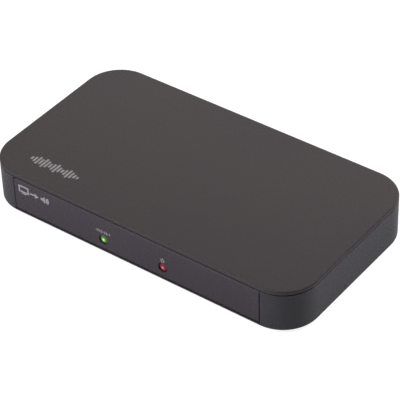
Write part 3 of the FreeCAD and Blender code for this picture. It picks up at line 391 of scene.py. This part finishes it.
easedFrom = 38          # degrees: only edges sharper than this are eased
mergedWithin = 0.002    # mm: corners of a CAD mesh that are this close are one
flatWithin = 3          # degrees: faces of a CAD mesh that meet flatter than this are one
smoothBelow = 40        # degrees: faces that meet flatter than this are shaded as one surface
flatFaces = 20          # the same for a piece with eased edges, whose flat faces stay flat


def solid(*shapes, bevel=0.0, segments=2):
    # one clean mesh of several closed shapes, its sharp edges eased by bevel mm
    corners, faces = [], []
    for shapeCorners, shapeFaces in shapes:
        faces += [tuple(index + len(corners) for index in face) for face in shapeFaces]
        corners += shapeCorners
    mesh = bpy.data.meshes.new("solid")
    mesh.from_pydata([Vector(corner) * mm for corner in corners], [], faces)
    form = bmesh.new()
    form.from_mesh(mesh)
    bmesh.ops.recalc_face_normals(form, faces=form.faces)
    form.to_mesh(mesh)
    form.free()
    return eased(mesh, bevel, segments) if bevel else mesh


def settled(carrier):
    # the carrier's mesh with its modifiers worked in
    plain = bpy.data.meshes.new_from_object(carrier.evaluated_get(bpy.context.evaluated_depsgraph_get()))
    bpy.data.objects.remove(carrier)
    return plain


def carrierOf(mesh):
    carrier = bpy.data.objects.new("carrier", mesh)
    scene.collection.objects.link(carrier)
    return carrier


def eased(mesh, width, segments=2):
    carrier = carrierOf(mesh)
    bevel = carrier.modifiers.new("edges", "BEVEL")
    bevel.width = width * mm
    bevel.segments = segments
    bevel.limit_method = "ANGLE"
    bevel.angle_limit = math.radians(easedFrom)
    return settled(carrier)


def softened(node, width):
    # a CAD node's own shape, merged, with its edges eased
    form = bmesh.new()
    form.from_mesh(nodes[node].data)
    bmesh.ops.remove_doubles(form, verts=form.verts, dist=mergedWithin * mm)
    bmesh.ops.dissolve_limit(form, angle_limit=math.radians(flatWithin), verts=form.verts, edges=form.edges)
    bmesh.ops.recalc_face_normals(form, faces=form.faces)
    mesh = bpy.data.meshes.new(node)
    form.to_mesh(mesh)
    form.free()
    return eased(mesh, width)


def gridTree():
    # Geometry Nodes: copies of a shape in columns and rows
    tree = bpy.data.node_groups.new("copiesInAGrid", "GeometryNodeTree")
    for name, kind in (("Shape", "Geometry"), ("Columns", "Int"), ("Column Step", "Vector"), ("Rows", "Int"),
                       ("Row Step", "Vector"), ("Finish", "Material")):
        tree.interface.new_socket(name, in_out="INPUT", socket_type="NodeSocket" + kind)
    tree.interface.new_socket("Copies", in_out="OUTPUT", socket_type="NodeSocketGeometry")
    given = addNode(tree, "NodeGroupInput").outputs
    copies = given["Shape"]
    for count, step in (("Columns", "Column Step"), ("Rows", "Row Step")):
        line = addNode(tree, "GeometryNodeMeshLine", links={"Count": given[count], "Offset": given[step]})
        copies = addNode(tree, "GeometryNodeInstanceOnPoints",
                         links={"Points": line.outputs["Mesh"], "Instance": copies}).outputs["Instances"]
    real = addNode(tree, "GeometryNodeRealizeInstances", links={"Geometry": copies})
    finished = addNode(tree, "GeometryNodeSetMaterial",
                       links={"Geometry": real.outputs["Geometry"], "Material": given["Finish"]})
    addNode(tree, "NodeGroupOutput", links={"Copies": finished.outputs["Geometry"]})
    return tree


copiesInAGrid = gridTree()


def repeated(mesh, finish, columns, columnStep, rows=1, rowStep=(0, 0, 0)):
    carrier = carrierOf(mesh)
    copies = carrier.modifiers.new("copies", "NODES")
    copies.node_group = copiesInAGrid
    values = {"Columns": columns, "Column Step": [step * mm for step in columnStep], "Rows": rows,
              "Row Step": [step * mm for step in rowStep], "Finish": materials[finish]}
    for socket in copiesInAGrid.interface.items_tree:
        if socket.name in values:
            copies[socket.identifier] = values[socket.name]
    return settled(carrier)


def fourOf(shape, place, finish):
    # a shape made at -x, -y, and its copies in the other three corners
    x, y = place
    return repeated(solid(shape), finish, 2, (2 * x, 0, 0), 2, (0, 2 * y, 0))


def makePiece(name, meshes, slot, body="case", finish=None, replaced=(), sharp=smoothBelow):
    form = bmesh.new()
    for mesh in meshes:
        form.from_mesh(mesh)
        bpy.data.meshes.remove(mesh)
    for face in form.faces:
        face.material_index = 0
    joined = bpy.data.meshes.new(name)
    form.to_mesh(joined)
    form.free()
    joined.materials.append(materials[finish or finishOfSlot[slot]])
    joined.shade_smooth()
    joined.set_sharp_from_angle(angle=math.radians(sharp))
    piece = bpy.data.objects.new(name, joined)
    scene.collection.objects.link(piece)
    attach(piece, body)
    if replaced:
        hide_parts(*replaced)


def easedPiece(name, node, ease, slot, body="case", extra=()):
    # a CAD node's own shape with eased edges, and what stands on it
    makePiece(name, [softened(node, ease), *extra], slot, body, replaced=[node], sharp=flatFaces)


# panels: the CAD's shapes with eased edges, the front one's ends moved closer to the tray; all in mm

panelLook = {"ease": 0.04, "closer": 0.11, "reach": 1.5}
panel = softened("front_panel", panelLook["ease"])
furthest = max(corner.co.x for corner in panel.vertices)
for corner in panel.vertices:
    if abs(corner.co.x) > furthest - panelLook["reach"] * mm:
        corner.co.x += math.copysign(panelLook["closer"] * mm, corner.co.x)
makePiece("frontPanel", [panel], "panel_plastic", replaced=["front_panel"], sharp=flatFaces)
easedPiece("rearPanel", "rear_panel", panelLook["ease"], "panel_plastic")
print("panels made")


# indicators: cast lenses with a flange behind the front panel and a low dome in its hole

lens = {
    "flange": [(1.8, -24.95), (1.9, -25.05), (1.9, -25.85), (1.8, -25.95), (1.54, -25.97), (1.5, -26.03)],
    "radius": 1.5, "tip": -30.38, "crown": 0.65, "crownSteps": 10, "leastRadius": 0.03, "sharp": 60,
}
dome = []
for step in range(lens["crownSteps"] + 1):
    turn = math.pi / 2 * step / lens["crownSteps"]
    dome.append((max(lens["radius"] * math.cos(turn), lens["leastRadius"]),
                 lens["tip"] + lens["crown"] * (1 - math.sin(turn))))
for name, centre in lampPlaces.items():
    makePiece(name + "Lens", [solid(turned(centre, lens["flange"] + dome, "y"))], name + "_epoxy",
              replaced=[name + "_led"], sharp=lens["sharp"])
print("indicators made")


# printing: thin closed layers of ink, all of them plain pictograms drawn about one unit high

ink = {"line": 0.28, "above": 0.03, "below": 0.02}
printedFaces = {"front": -30.35, "rear": 30.35, "top": 15.1}


def arc(centre, radius, start, end, steps=12):
    turns = [math.radians(start + (end - start) * step / steps) for step in range(steps + 1)]
    return [(centre[0] + radius * math.cos(turn), centre[1] + radius * math.sin(turn)) for turn in turns]


def barsMark(heights, pitch, width):
    start = -pitch * (len(heights) - 1) / 2
    return [("area", rectangle(start + pitch * number - width / 2, start + pitch * number + width / 2,
                               -height / 2, height / 2)) for number, height in enumerate(heights)]


screenMark = [("outline", [(-0.62, -0.22), (0.62, -0.22), (0.62, 0.5), (-0.62, 0.5)]),
              ("area", rectangle(-0.3, 0.3, -0.5, -0.38))]
arrowMark = [("area", [(-0.5, -0.07), (0.08, -0.07), (0.08, -0.3), (0.5, 0.0), (0.08, 0.3), (0.08, 0.07),
                       (-0.5, 0.07)])]
speakerMark = [("area", [(-0.55, -0.17), (-0.3, -0.17), (0.0, -0.45), (0.0, 0.45), (-0.3, 0.17),
                         (-0.55, 0.17)]),
               ("line", arc((-0.1, 0.0), 0.32, -42, 42)), ("line", arc((-0.1, 0.0), 0.54, -42, 42))]
powerMark = [("line", arc((0, -0.06), 0.42, 122, 418, 20)), ("area", rectangle(-0.08, 0.08, 0.0, 0.52))]
phonesMark = [("line", arc((0, -0.05), 0.42, 0, 180, 14)), ("area", rectangle(-0.52, -0.3, -0.45, 0.0)),
              ("area", rectangle(0.3, 0.52, -0.45, 0.0))]
directMark = [("area", rectangle(-0.6, 0.6, 0.12, 0.24)), ("area", rectangle(-0.6, -0.28, -0.2, -0.08)),
              ("area", rectangle(-0.16, 0.16, -0.2, -0.08)), ("area", rectangle(0.28, 0.6, -0.2, -0.08))]
# the round end of a light guide in its square socket
lightMark = [("outline", rectangle(-0.46, 0.46, -0.46, 0.46)), ("area", circle((0, 0), 0.2, 12))]

# each is a pictogram, its middle, its height, -1 where it is turned round, and its line's width or None
frontPrint = {
    "power": (powerMark, (10.65, 8.5), 1.3, 1, 0.27),
    "signal": (barsMark((0.4, 0.9, 0.6, 1.0, 0.5, 0.8, 1.0, 0.4, 0.7), 0.52, 0.24),
               (-10.6, 8.6), 1.15, 1, None),
    "screen": (screenMark, (-39.95, 10.2), 2.7, 1, 0.55),
    "arrow": (arrowMark, (-36.0, 10.2), 3.3, 1, None),
    "speaker": (speakerMark, (-31.95, 10.2), 2.8, 1, 0.5),
}
topPrint = {
    "level": (barsMark((0.3, 0.55, 0.85, 0.6, 1.0, 0.75, 0.45, 0.7, 0.95, 0.55, 0.35, 0.6, 0.9, 0.65, 0.4,
                        0.25), 0.275, 0.165), (-35.1, -21.55), 4.1, 1, None),
}
rearPrint = {
    "toScreenArrow": (arrowMark, (22.7, 3.45), 1.9, -1, None),
    "toScreen": (screenMark, (20.0, 3.45), 1.7, -1, 0.2),
    "fromPlayer": (barsMark((0.5, 0.5, 0.5), 0.42, 0.3), (4.6, 3.45), 1.5, -1, None),
    "fromPlayerArrow": (arrowMark, (2.2, 3.45), 1.9, -1, None),
    "direct": (directMark, (34.95, 3.45), 1.9, -1, None),
    "light": (lightMark, (-16.6, 10.5), 1.9, 1, 0.2),
    "phones": (phonesMark, (-36.17, 3.6), 1.8, -1, 0.24),
    "switchStart": (barsMark((0.5,), 0.5, 0.5), (-9.9, 10.6), 0.9, 1, None),
    "switchEnd": (barsMark((0.5, 0.5), 0.8, 0.5), (-12.5, 10.6), 0.9, 1, None),
}


def printed(prints, level, along, outwards):
    # pictograms as solid ink on one face; outwards is the side that the ink stands on
    low, high = level - outwards * ink["below"], level + outwards * ink["above"]
    shapes = []
    for mark, centre, size, flip, line in prints.values():
        half = (line or ink["line"]) / 2
        for kind, path in mark:
            path = [(centre[0] + flip * size * a, centre[1] + size * b) for a, b in path]
            if kind == "area":
                shapes.append(prism(path, low, high, along))
            elif kind == "outline":
                outer, inner = offsetPath(path, half), offsetPath(path, -half)
                shapes.append(loft([ringAt(outer, low, along), ringAt(outer, high, along),
                                    ringAt(inner, high, along), ringAt(inner, low, along)], loop=True))
            else:
                left, right = offsetPath(path, half, False), offsetPath(path, -half, False)
                shapes.append(prism(left + right[::-1], low, high, along))
    return [solid(*shapes)]


makePiece("frontPrint", printed(frontPrint, printedFaces["front"], "y", -1), "panel_plastic",
          finish="screenPrintedInk")
makePiece("topPrint", printed(topPrint, printedFaces["top"], "z", 1), "case_plastic",
          finish="screenPrintedGreyInk")
makePiece("rearPrint", printed(rearPrint, printedFaces["rear"], "y", 1), "panel_plastic",
          finish="screenPrintedInk")
print("printing made")


# video sockets: a folded shell with springs and legs, a nylon insert and gold contacts

videoSocket = {
    "places": {"output": 20.52, "input": 3.06},     # x of each socket's middle
    "mouth": 30.25, "rear": 19.05, "wall": 0.4, "fold": 0.75,
    "outline": [(-7.5, 10.95), (-7.5, 7.2), (-5.6, 5.5), (5.6, 5.5), (7.5, 7.2), (7.5, 10.95)],
    "plug": {"face": 22.25, "gap": 0.02, "round": 0.3, "ease": 0.1},
    "tongue": {"half": 5.5, "low": 7.65, "high": 8.85, "tip": 29.05, "sunk": 0.3, "nose": 0.35, "taper": 0.22,
               "ease": 0.06},
    # the leaf's y, and how far it leans into the socket there
    "spring": {"width": 2.3, "thick": 0.22, "places": (-3.4, 3.4), "sunk": 0.05, "ease": 0.05,
               "bend": [(21.9, 0.0), (23.2, 0.0), (25.2, 0.28), (26.7, 0.46), (27.6, 0.42), (28.6, 0.2)]},
    # the strip's y, and its height off the tongue's face there
    "contact": {"width": 0.45, "pitch": 1.0, "above": 10, "below": 9, "ease": 0.03,
                "strip": [(22.05, -0.06), (27.65, -0.06), (27.85, -0.02), (27.6, 0.13), (26.75, 0.15),
                          (26.15, 0.12), (22.05, 0.12)]},
    "leg": {"x": 7.3, "y": (27.25, 21.25), "width": 1.5, "thick": 0.4, "low": 3.3, "high": 7.0, "round": 0.3},
}
rolledLip = {"length": 0.35, "turn": (0.35, 0.3), "leastRound": 0.12}   # in walls, in lips and in mm


def folded(corners, radius, wall, rear, mouth, steps=6):
    # a sheet-metal sleeve: outer skin, rolled lip and inner skin
    def skin(depth):
        inset = offsetPath(corners, -depth) if depth else corners
        return roundedPath(inset, max(radius - depth, rolledLip["leastRound"]), steps)
    lip = wall * rolledLip["length"]
    inwards, backwards = (lip * share for share in rolledLip["turn"])
    return loft([ringAt(skin(depth), level, "y") for depth, level in (
        (0, rear), (0, mouth - lip), (inwards, mouth - backwards), (wall / 2, mouth),
        (wall - inwards, mouth - backwards), (wall, mouth - lip), (wall, rear))], loop=True)


def springStrip(x, wallLevel, into, look):
    # a bent leaf that leans into the socket; into is -1 from the top wall and 1 from the bottom one
    near = [(y, wallLevel + into * (sag - look["sunk"])) for y, sag in look["bend"]]
    far = [(y, level + into * look["thick"]) for y, level in near]
    return prism(near + far[::-1], x - look["width"] / 2, x + look["width"] / 2, "x")


def insertOf(plugShape, rear, plug, blade, tongue):
    # a plug that closes the shell, and a tongue from inside it to a tapered nose
    root, tip = plug["face"] - tongue["sunk"], tongue["tip"]
    return [solid(prism(plugShape, rear, plug["face"], "y"), bevel=plug["ease"]),
            solid(loft([ringAt(blade, root, "y"), ringAt(blade, tip - tongue["nose"], "y"),
                        ringAt(offsetPath(blade, tongue["taper"]), tip, "y")]), bevel=tongue["ease"])]


look = videoSocket
plug, tongue, spring, contact, leg = (look[name] for name in ("plug", "tongue", "spring", "contact", "leg"))
for side, x in look["places"].items():
    corners = [(x + a, b) for a, b in look["outline"]][::-1]
    levels = [b for a, b in corners]
    ceiling, ground = max(levels) - look["wall"], min(levels) + look["wall"]
    shell = solid(folded(corners, look["fold"], look["wall"], look["rear"], look["mouth"]))
    springs = solid(*[springStrip(x + a, level, into, spring) for a in spring["places"]
                      for level, into in ((ceiling, -1), (ground, 1))], bevel=spring["ease"])
    near, far = (leg["y"][0] + way * leg["width"] / 2 for way in (-1, 1))
    legShape = roundedPath([(near, leg["high"]), (near, leg["low"]), (far, leg["low"]), (far, leg["high"])],
                           leg["round"], 3)
    legX = x - leg["x"]
    legs = repeated(solid(prism(legShape, legX - leg["thick"] / 2, legX + leg["thick"] / 2, "x")),
                    "rolledNickelSteel", 2, (2 * leg["x"], 0, 0), 2, (0, leg["y"][1] - leg["y"][0], 0))
    makePiece(side + "Shell", [shell, springs, legs], "nickel_shell", replaced=["video_%s_shell" % side])

    plugShape = roundedPath(offsetPath(corners, -look["wall"] - plug["gap"]), plug["round"], 4)
    blade = rectangle(x - tongue["half"], x + tongue["half"], tongue["low"], tongue["high"])
    makePiece(side + "Insert", insertOf(plugShape, look["rear"], plug, blade, tongue), "insert_plastic",
              replaced=["video_%s_insert" % side])

    rows = []
    for count, level, up in ((contact["above"], tongue["high"], 1), (contact["below"], tongue["low"], -1)):
        strip = [(y, level + up * rise) for y, rise in contact["strip"]]
        first, half = x - contact["pitch"] * (count - 1) / 2, contact["width"] / 2
        rows.append(repeated(solid(prism(strip, first - half, first + half, "x"), bevel=contact["ease"],
                                   segments=1), "goldFlashedBronze", count, (contact["pitch"], 0, 0)))
    makePiece(side + "Contacts", rows, "contact_gold", replaced=["video_%s_contacts" % side])
print("video sockets made")


# power inlet: a drawn sleeve with round ends and a tab on the board, its tongue and contact pads

inlet = {           # its folds are just under half its height, so that the ends are round
    "x": 34.95, "axis": 7.13, "half": (4.47, 1.63), "wall": 0.3, "fold": 1.62, "foldSteps": 10,
    "mouth": 30.25, "rear": 22.9,
    "tab": {"half": 2.6, "y": (23.3, 27.3), "z": (5.45, 5.62), "ease": 0.06},
    "plug": {"face": 24.9, "gap": 0.01, "round": 1.3, "ease": 0.08},
    "tongue": {"half": 3.35, "thick": 0.7, "tip": 29.45, "sunk": 0.3, "nose": 0.3, "taper": 0.14,
               "ease": 0.05},
    "pad": {"count": 8, "pitch": 0.7, "width": 0.36, "thick": 0.06, "y": (26.3, 28.85), "ease": 0.015},
}
look, x, z = inlet, inlet["x"], inlet["axis"]
tab, plug, tongue, pad = (look[name] for name in ("tab", "plug", "tongue", "pad"))
halfX, halfZ = look["half"]
sleeve = rectangle(x - halfX, x + halfX, z - halfZ, z + halfZ)[::-1]
tabShape = block(*[(x + way * tab["half"], y, level) for way, y, level in zip((-1, 1), tab["y"], tab["z"])])
makePiece("inletShell", [solid(folded(sleeve, look["fold"], look["wall"], look["rear"], look["mouth"],
                                      look["foldSteps"])), solid(tabShape, bevel=tab["ease"])],
          "nickel_shell", replaced=["power_inlet_shell"])
plugShape = roundedPath(offsetPath(sleeve, -look["wall"] - plug["gap"]), plug["round"], look["foldSteps"])
low, high = z - tongue["thick"] / 2, z + tongue["thick"] / 2
blade = rectangle(x - tongue["half"], x + tongue["half"], low, high)
makePiece("inletInsert", insertOf(plugShape, look["rear"], plug, blade, tongue), "insert_plastic",
          replaced=["power_inlet_insert"])
first = x - pad["pitch"] * (pad["count"] - 1) / 2
pads = []
for level in (low, high):
    padShape = block(*[(first + way * pad["width"] / 2, y, level + way * pad["thick"] / 2)
                       for way, y in zip((-1, 1), pad["y"])])
    pads.append(repeated(solid(padShape, bevel=pad["ease"], segments=1), "goldFlashedBronze",
                         pad["count"], (pad["pitch"], 0, 0)))
makePiece("inletContacts", pads, "contact_gold")


# optical and sound jacks and the mode switch: the moulded bodies keep the CAD's shapes, with eased edges

ease = {"opticalHousing": 0.12, "opticalFlap": 0.06, "jackBody": 0.1, "switchHousing": 0.1}
easedPiece("opticalHousing", "optical_jack_housing", ease["opticalHousing"], "jack_plastic")
easedPiece("opticalFlap", "optical_jack_flap", ease["opticalFlap"], "flap_plastic", "optical_flap")
easedPiece("jackBody", "audio_jack_body", ease["jackBody"], "jack_plastic")

jackRing = {        # the profile's points are radius and y
    "centre": (-36.17, 8.0), "steps": 64,
    "profile": [(1.8, 29.75), (1.8, 30.09), (1.85, 30.19), (1.96, 30.25), (2.2, 30.25), (2.28, 30.22),
                (2.3, 30.15), (2.3, 29.75)],
}
ring = turned(jackRing["centre"], jackRing["profile"], "y", jackRing["steps"], loop=True)
makePiece("jackRing", [solid(ring)], "nickel_shell", replaced=["audio_jack_ring"])
easedPiece("switchHousing", "mode_switch_housing", ease["switchHousing"], "nickel_shell")

knob = {"ease": 0.08, "ribs": 4, "pitch": 0.42, "rib": 0.2, "proud": 0.1, "sunk": 0.05, "z": (6.6, 8.0),
        "ribEase": 0.04}
low, high = (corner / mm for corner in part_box("mode_switch_knob"))
first = (low.x + high.x) / 2 - knob["pitch"] * (knob["ribs"] - 1) / 2
rib = solid(block((first - knob["rib"] / 2, high.y - knob["sunk"], knob["z"][0]),
                  (first + knob["rib"] / 2, high.y + knob["proud"], knob["z"][1])), bevel=knob["ribEase"])
ribs = repeated(rib, "rubbedAcetal", knob["ribs"], (knob["pitch"], 0, 0))
easedPiece("switchKnob", "mode_switch_knob", knob["ease"], "knob_plastic", "switch_knob", [ribs])
print("rear sockets made")


# underside: moulded feet and cross-recessed screws

foot = {            # the profile's points are radius and z, with a shallow groove in the tread
    "place": (37.0, 21.5), "steps": 64,
    "profile": [(3.95, 1.6), (4.0, 1.55), (4.0, 1.0), (3.97, 0.94), (3.63, 0.22), (3.54, 0.07), (3.35, 0.0),
                (2.5, 0.0), (2.42, 0.1), (2.3, 0.14), (2.0, 0.14), (1.88, 0.1), (1.8, 0.0), (0.1, 0.0)],
}
footX, footY = foot["place"]
makePiece("feet", [fourOf(turned((-footX, -footY), foot["profile"], "z", foot["steps"]), foot["place"],
                          "mouldedNitrile")],
          "foot_rubber", replaced=["rubber_feet"])

caseScrew = {
    "place": (46.75, 22.1), "steps": 36, "sharp": 30,
    "point": [(0.55, 11.4), (0.9, 10.9)],
    "thread": {"from": 10.9, "neck": 3.4, "root": 1.0, "crest": 1.25, "pitch": 0.5, "end": 0.4,
               "lastRoot": 0.3},
    "head": [(2.08, 3.4), (2.2, 3.28), (2.2, 2.3), (2.08, 2.0), (1.8, 1.84), (1.55, 1.8)],
    "recess": {"length": 2.4, "width": 0.5, "depth": 0.9, "floorLength": 0.62, "floorWidth": 0.8},
}


def crossOutline(centre, length, width):
    long, short = length / 2, width / 2
    plus = [(short, -long), (short, -short), (long, -short), (long, short), (short, short), (short, long)]
    plus += [(-a, -b) for a, b in plus]
    return [(centre[0] + a, centre[1] + b) for a, b in plus]


def crossScrew(centre, look):
    # one skin from the point, up the thread and round the head, then into the recess
    thread, recess, steps = look["thread"], look["recess"], look["steps"]
    neck, root, crest, pitch = (thread[name] for name in ("neck", "root", "crest", "pitch"))
    profile, level = list(look["point"]), thread["from"]
    while level - pitch > neck + thread["end"]:
        profile += [(root, level), (crest, level - pitch / 2)]
        level -= pitch
    profile += [(root, neck + thread["lastRoot"]), (crest, neck)] + look["head"]
    corners, faces = turned(centre, profile, "z", steps)
    faces.pop()
    rim, face = corners[-steps:], profile[-1][1]
    outer, inner = [(a, b) for a, b, level in rim], crossOutline(centre, recess["length"], recess["width"])
    ground = crossOutline(centre, recess["length"] * recess["floorLength"],
                          recess["width"] * recess["floorWidth"])
    count, sides = len(corners), len(inner)
    corners = corners + ringAt(inner, face, "z") + ringAt(ground, face + recess["depth"], "z")
    order = [count - steps + i for i in range(steps)] + [count + i for i in range(sides)]
    loops = [[Vector((a, b, 0)) for a, b in path] for path in (outer, inner)]
    faces += [tuple(order[i] for i in triangle) for triangle in tessellate_polygon(loops)]
    faces += [(count + i, count + (i + 1) % sides, count + sides + (i + 1) % sides, count + sides + i)
              for i in range(sides)]
    faces.append(tuple(count + sides + i for i in range(sides)))
    return corners, faces


screwX, screwY = caseScrew["place"]
screw = crossScrew((-screwX, -screwY), caseScrew)
makePiece("caseScrews", [fourOf(screw, caseScrew["place"], "blackZincSteel")], "screw_steel",
          replaced=["case_screws"], sharp=caseScrew["sharp"])
print("underside made")


# inside: chip bodies with legs, cans, end caps

chips = {           # the sides that carry legs, legs on a side, pitch and leg width
    "main_chip": ("xy", 20, 0.6, 0.26),
    "audio_chip": ("x", 10, 0.65, 0.26),
    "controller_chip": ("xy", 8, 0.8, 0.34),
    "memory_chip": ("x", 4, 0.9, 0.38),
    "regulator": ("y", 3, 2.2, 0.7),
}
chipBody = {"ease": 0.12, "dotInset": 0.9, "dotRadius": 0.3, "dotSunk": 0.1, "dotProud": 0.01, "dotSteps": 20}
gullWing = [(-0.1, 0.75), (0.3, 0.75), (0.5, 0.13), (0.9, 0.13), (0.9, 0.0), (0.4, 0.0), (0.22, 0.62),
            (-0.1, 0.62)]       # a leg's distance from the body and its height off the board

for name, (sides, count, pitch, width) in chips.items():
    low, high = (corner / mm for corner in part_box(name))
    centre, half = (low + high) / 2, (high - low) / 2
    dot = turned((low.x + chipBody["dotInset"], low.y + chipBody["dotInset"]),
                 [(chipBody["dotRadius"], high.z - chipBody["dotSunk"]),
                  (chipBody["dotRadius"], high.z + chipBody["dotProud"])], "z", chipBody["dotSteps"])
    easedPiece(name + "Body", name, chipBody["ease"], "chip_epoxy", extra=[solid(dot)])
    legs = []
    for axis in sides:
        across, along = ("x", "y") if axis == "x" else ("y", "x")
        edge = half.x if axis == "x" else half.y
        first = getattr(centre, along) - pitch * (count - 1) / 2
        step = (0, pitch, 0) if axis == "x" else (pitch, 0, 0)
        middle = getattr(centre, across)
        pair = [prism([(middle + way * (edge + away), low.z + lift) for away, lift in gullWing],
                      first - width / 2, first + width / 2, along) for way in (-1, 1)]
        legs.append(repeated(solid(*pair), "hotTinnedBrass", count, step))
    makePiece(name + "Legs", legs, "tinned_metal")

can = {             # the profile's points are radius and z, with a crimped groove low down
    "places": ((35.0, -5.0), (35.0, -13.5), (26.5, -5.0)),
    "profile": [(2.9, 5.9), (3.15, 6.2), (3.15, 6.6), (2.95, 6.85), (2.95, 7.05), (3.15, 7.3), (3.15, 10.6),
                (3.05, 10.8), (2.85, 10.9), (2.2, 10.9), (2.1, 10.84), (0.1, 10.84)],
    "seat": {"half": 3.3, "cut": 0.9, "z": (5.5, 6.3), "ease": 0.1},
}
makePiece("cans", [solid(turned(place, can["profile"], "z")) for place in can["places"]], "can_aluminium",
          replaced=["capacitors"])
seats = []
for x, y in can["places"]:
    half, cut = can["seat"]["half"], can["seat"]["cut"]
    seat = [(x - half, y - half), (x + half, y - half), (x + half, y + half - cut),
            (x + half - cut, y + half), (x - half + cut, y + half), (x - half, y + half - cut)]
    seats.append(solid(prism(seat, *can["seat"]["z"], "z"), bevel=can["seat"]["ease"]))
makePiece("canSeats", seats, "insert_plastic")

endCap = {"first": (-38.0, -20.0), "pitch": 3.2, "count": 8, "rows": 2, "half": (1.02, 0.645), "width": 0.35,
          "z": (5.49, 6.22), "ease": 0.05}
x, y = endCap["first"]
halfX, halfY = endCap["half"]
pair = [block((x + a, y - halfY, endCap["z"][0]), (x + a + endCap["width"], y + halfY, endCap["z"][1]))
        for a in (-halfX, halfX - endCap["width"])]
makePiece("endCaps", [repeated(solid(*pair, bevel=endCap["ease"]), "hotTinnedBrass", endCap["count"],
                               (endCap["pitch"], 0, 0), endCap["rows"], (0, endCap["pitch"], 0))],
          "tinned_metal")
print("inside made")


# floor, light and background

studio = {
    "floorColour": "#787878",
    "floorSize": 6.0,                       # m
    "floorLift": 0.87,                      # how much brighter the floor is to the camera
    "floorSheen": 0.04,                     # and to gloss and glass
    "ambient": 0.1,                         # the white room's light on the object
    "wallSide": (-0.2, 0.9, -0.34),         # where the white wall stands, as gloss sees it
    "wallEdge": (0.4, 0.52),                # from the unlit room to the white wall
    "unlit": 0.12,
    "boardSide": (-0.476, -0.629, 0.614),   # a white board in front, which draws the light lines on the edges
    "boardEdge": (0.52, 0.9),
    "boardLight": 1.1,
}
softboxes = {       # degrees round from the front, degrees up, metres away, metres across, watts
    "leftBox": (-34, 40, 1.0, 0.6, 13.2),
    "rightBox": (142, 40, 1.0, 0.6, 17.3),
    "ceilingBox": (218, 68, 1.0, 0.8, 1.0),
}

floorMaterial, floorTree = newMaterial("paintedFloor")
path = addNode(floorTree, "ShaderNodeLightPath").outputs
painted = addNode(floorTree, "ShaderNodeBsdfDiffuse", {"Color": toLinear(studio["floorColour"])})
polished = addNode(floorTree, "ShaderNodeMath", {"operation": "MAXIMUM"},
                   {0: path["Is Glossy Ray"], 1: path["Is Transmission Ray"]})
sheen = addNode(floorTree, "ShaderNodeMath", {"operation": "MULTIPLY", 1: studio["floorSheen"]},
                {0: polished.outputs[0]})
lift = addNode(floorTree, "ShaderNodeMix", {"B": studio["floorLift"]},
               {"Factor": path["Is Camera Ray"], "A": sheen.outputs[0]})
glow = addNode(floorTree, "ShaderNodeEmission", {"Color": (1, 1, 1, 1)}, {"Strength": lift.outputs[0]})
both = addNode(floorTree, "ShaderNodeAddShader", links={0: painted.outputs[0], 1: glow.outputs[0]})
addNode(floorTree, "ShaderNodeOutputMaterial", links={"Surface": both.outputs[0]})

bpy.ops.mesh.primitive_plane_add(size=studio["floorSize"], location=(0, 0, 0))
floor = bpy.context.object
floor.name = "floor"
floor.data.materials.append(floorMaterial)

for name, (turn, lift, away, across, power) in softboxes.items():
    back = towards(turn, lift)
    lamp = bpy.data.lights.new(name, "AREA")
    lamp.size = across
    lamp.energy = power
    box = bpy.data.objects.new(name, lamp)
    box.location = back * away
    box.rotation_euler = back.to_track_quat("Z", "Y").to_euler()
    box.visible_glossy = False      # gloss sees the white wall and the board instead
    scene.collection.objects.link(box)

world = bpy.data.worlds.new("studio")
scene.world = world
world.use_nodes = True
worldTree = world.node_tree
worldTree.nodes.clear()
path = addNode(worldTree, "ShaderNodeLightPath").outputs
direction = addNode(worldTree, "ShaderNodeTexCoord").outputs["Generated"]
seen = {}
for name, dark, bright in (("wall", studio["unlit"], 1.0), ("board", 0.0, studio["boardLight"])):
    start, full = studio[name + "Edge"]
    side = Vector(studio[name + "Side"]).normalized()
    facing = addNode(worldTree, "ShaderNodeVectorMath", {"operation": "DOT_PRODUCT", 1: side}, {0: direction})
    shown = addNode(worldTree, "ShaderNodeMapRange",
                    {"interpolation_type": "SMOOTHSTEP", "From Min": start, "From Max": full,
                     "To Min": dark, "To Max": bright}, {"Value": facing.outputs["Value"]})
    seen[name] = shown.outputs["Result"]
lit = addNode(worldTree, "ShaderNodeMath", {"operation": "MAXIMUM"}, {0: seen["wall"], 1: seen["board"]})
glossy = addNode(worldTree, "ShaderNodeMath", {"operation": "MAXIMUM"},
                 {0: path["Is Glossy Ray"], 1: path["Is Transmission Ray"]})
room = addNode(worldTree, "ShaderNodeMix", {"A": studio["ambient"]},
               {"Factor": glossy.outputs[0], "B": lit.outputs[0]})
strength = addNode(worldTree, "ShaderNodeMix", {"B": 1.0},
                   {"Factor": path["Is Camera Ray"], "A": room.outputs[0]})
sky = addNode(worldTree, "ShaderNodeBackground", {"Color": (1, 1, 1, 1)}, {"Strength": strength.outputs[0]})
addNode(worldTree, "ShaderNodeOutputWorld", links={"Surface": sky.outputs[0]})
print("studio made")
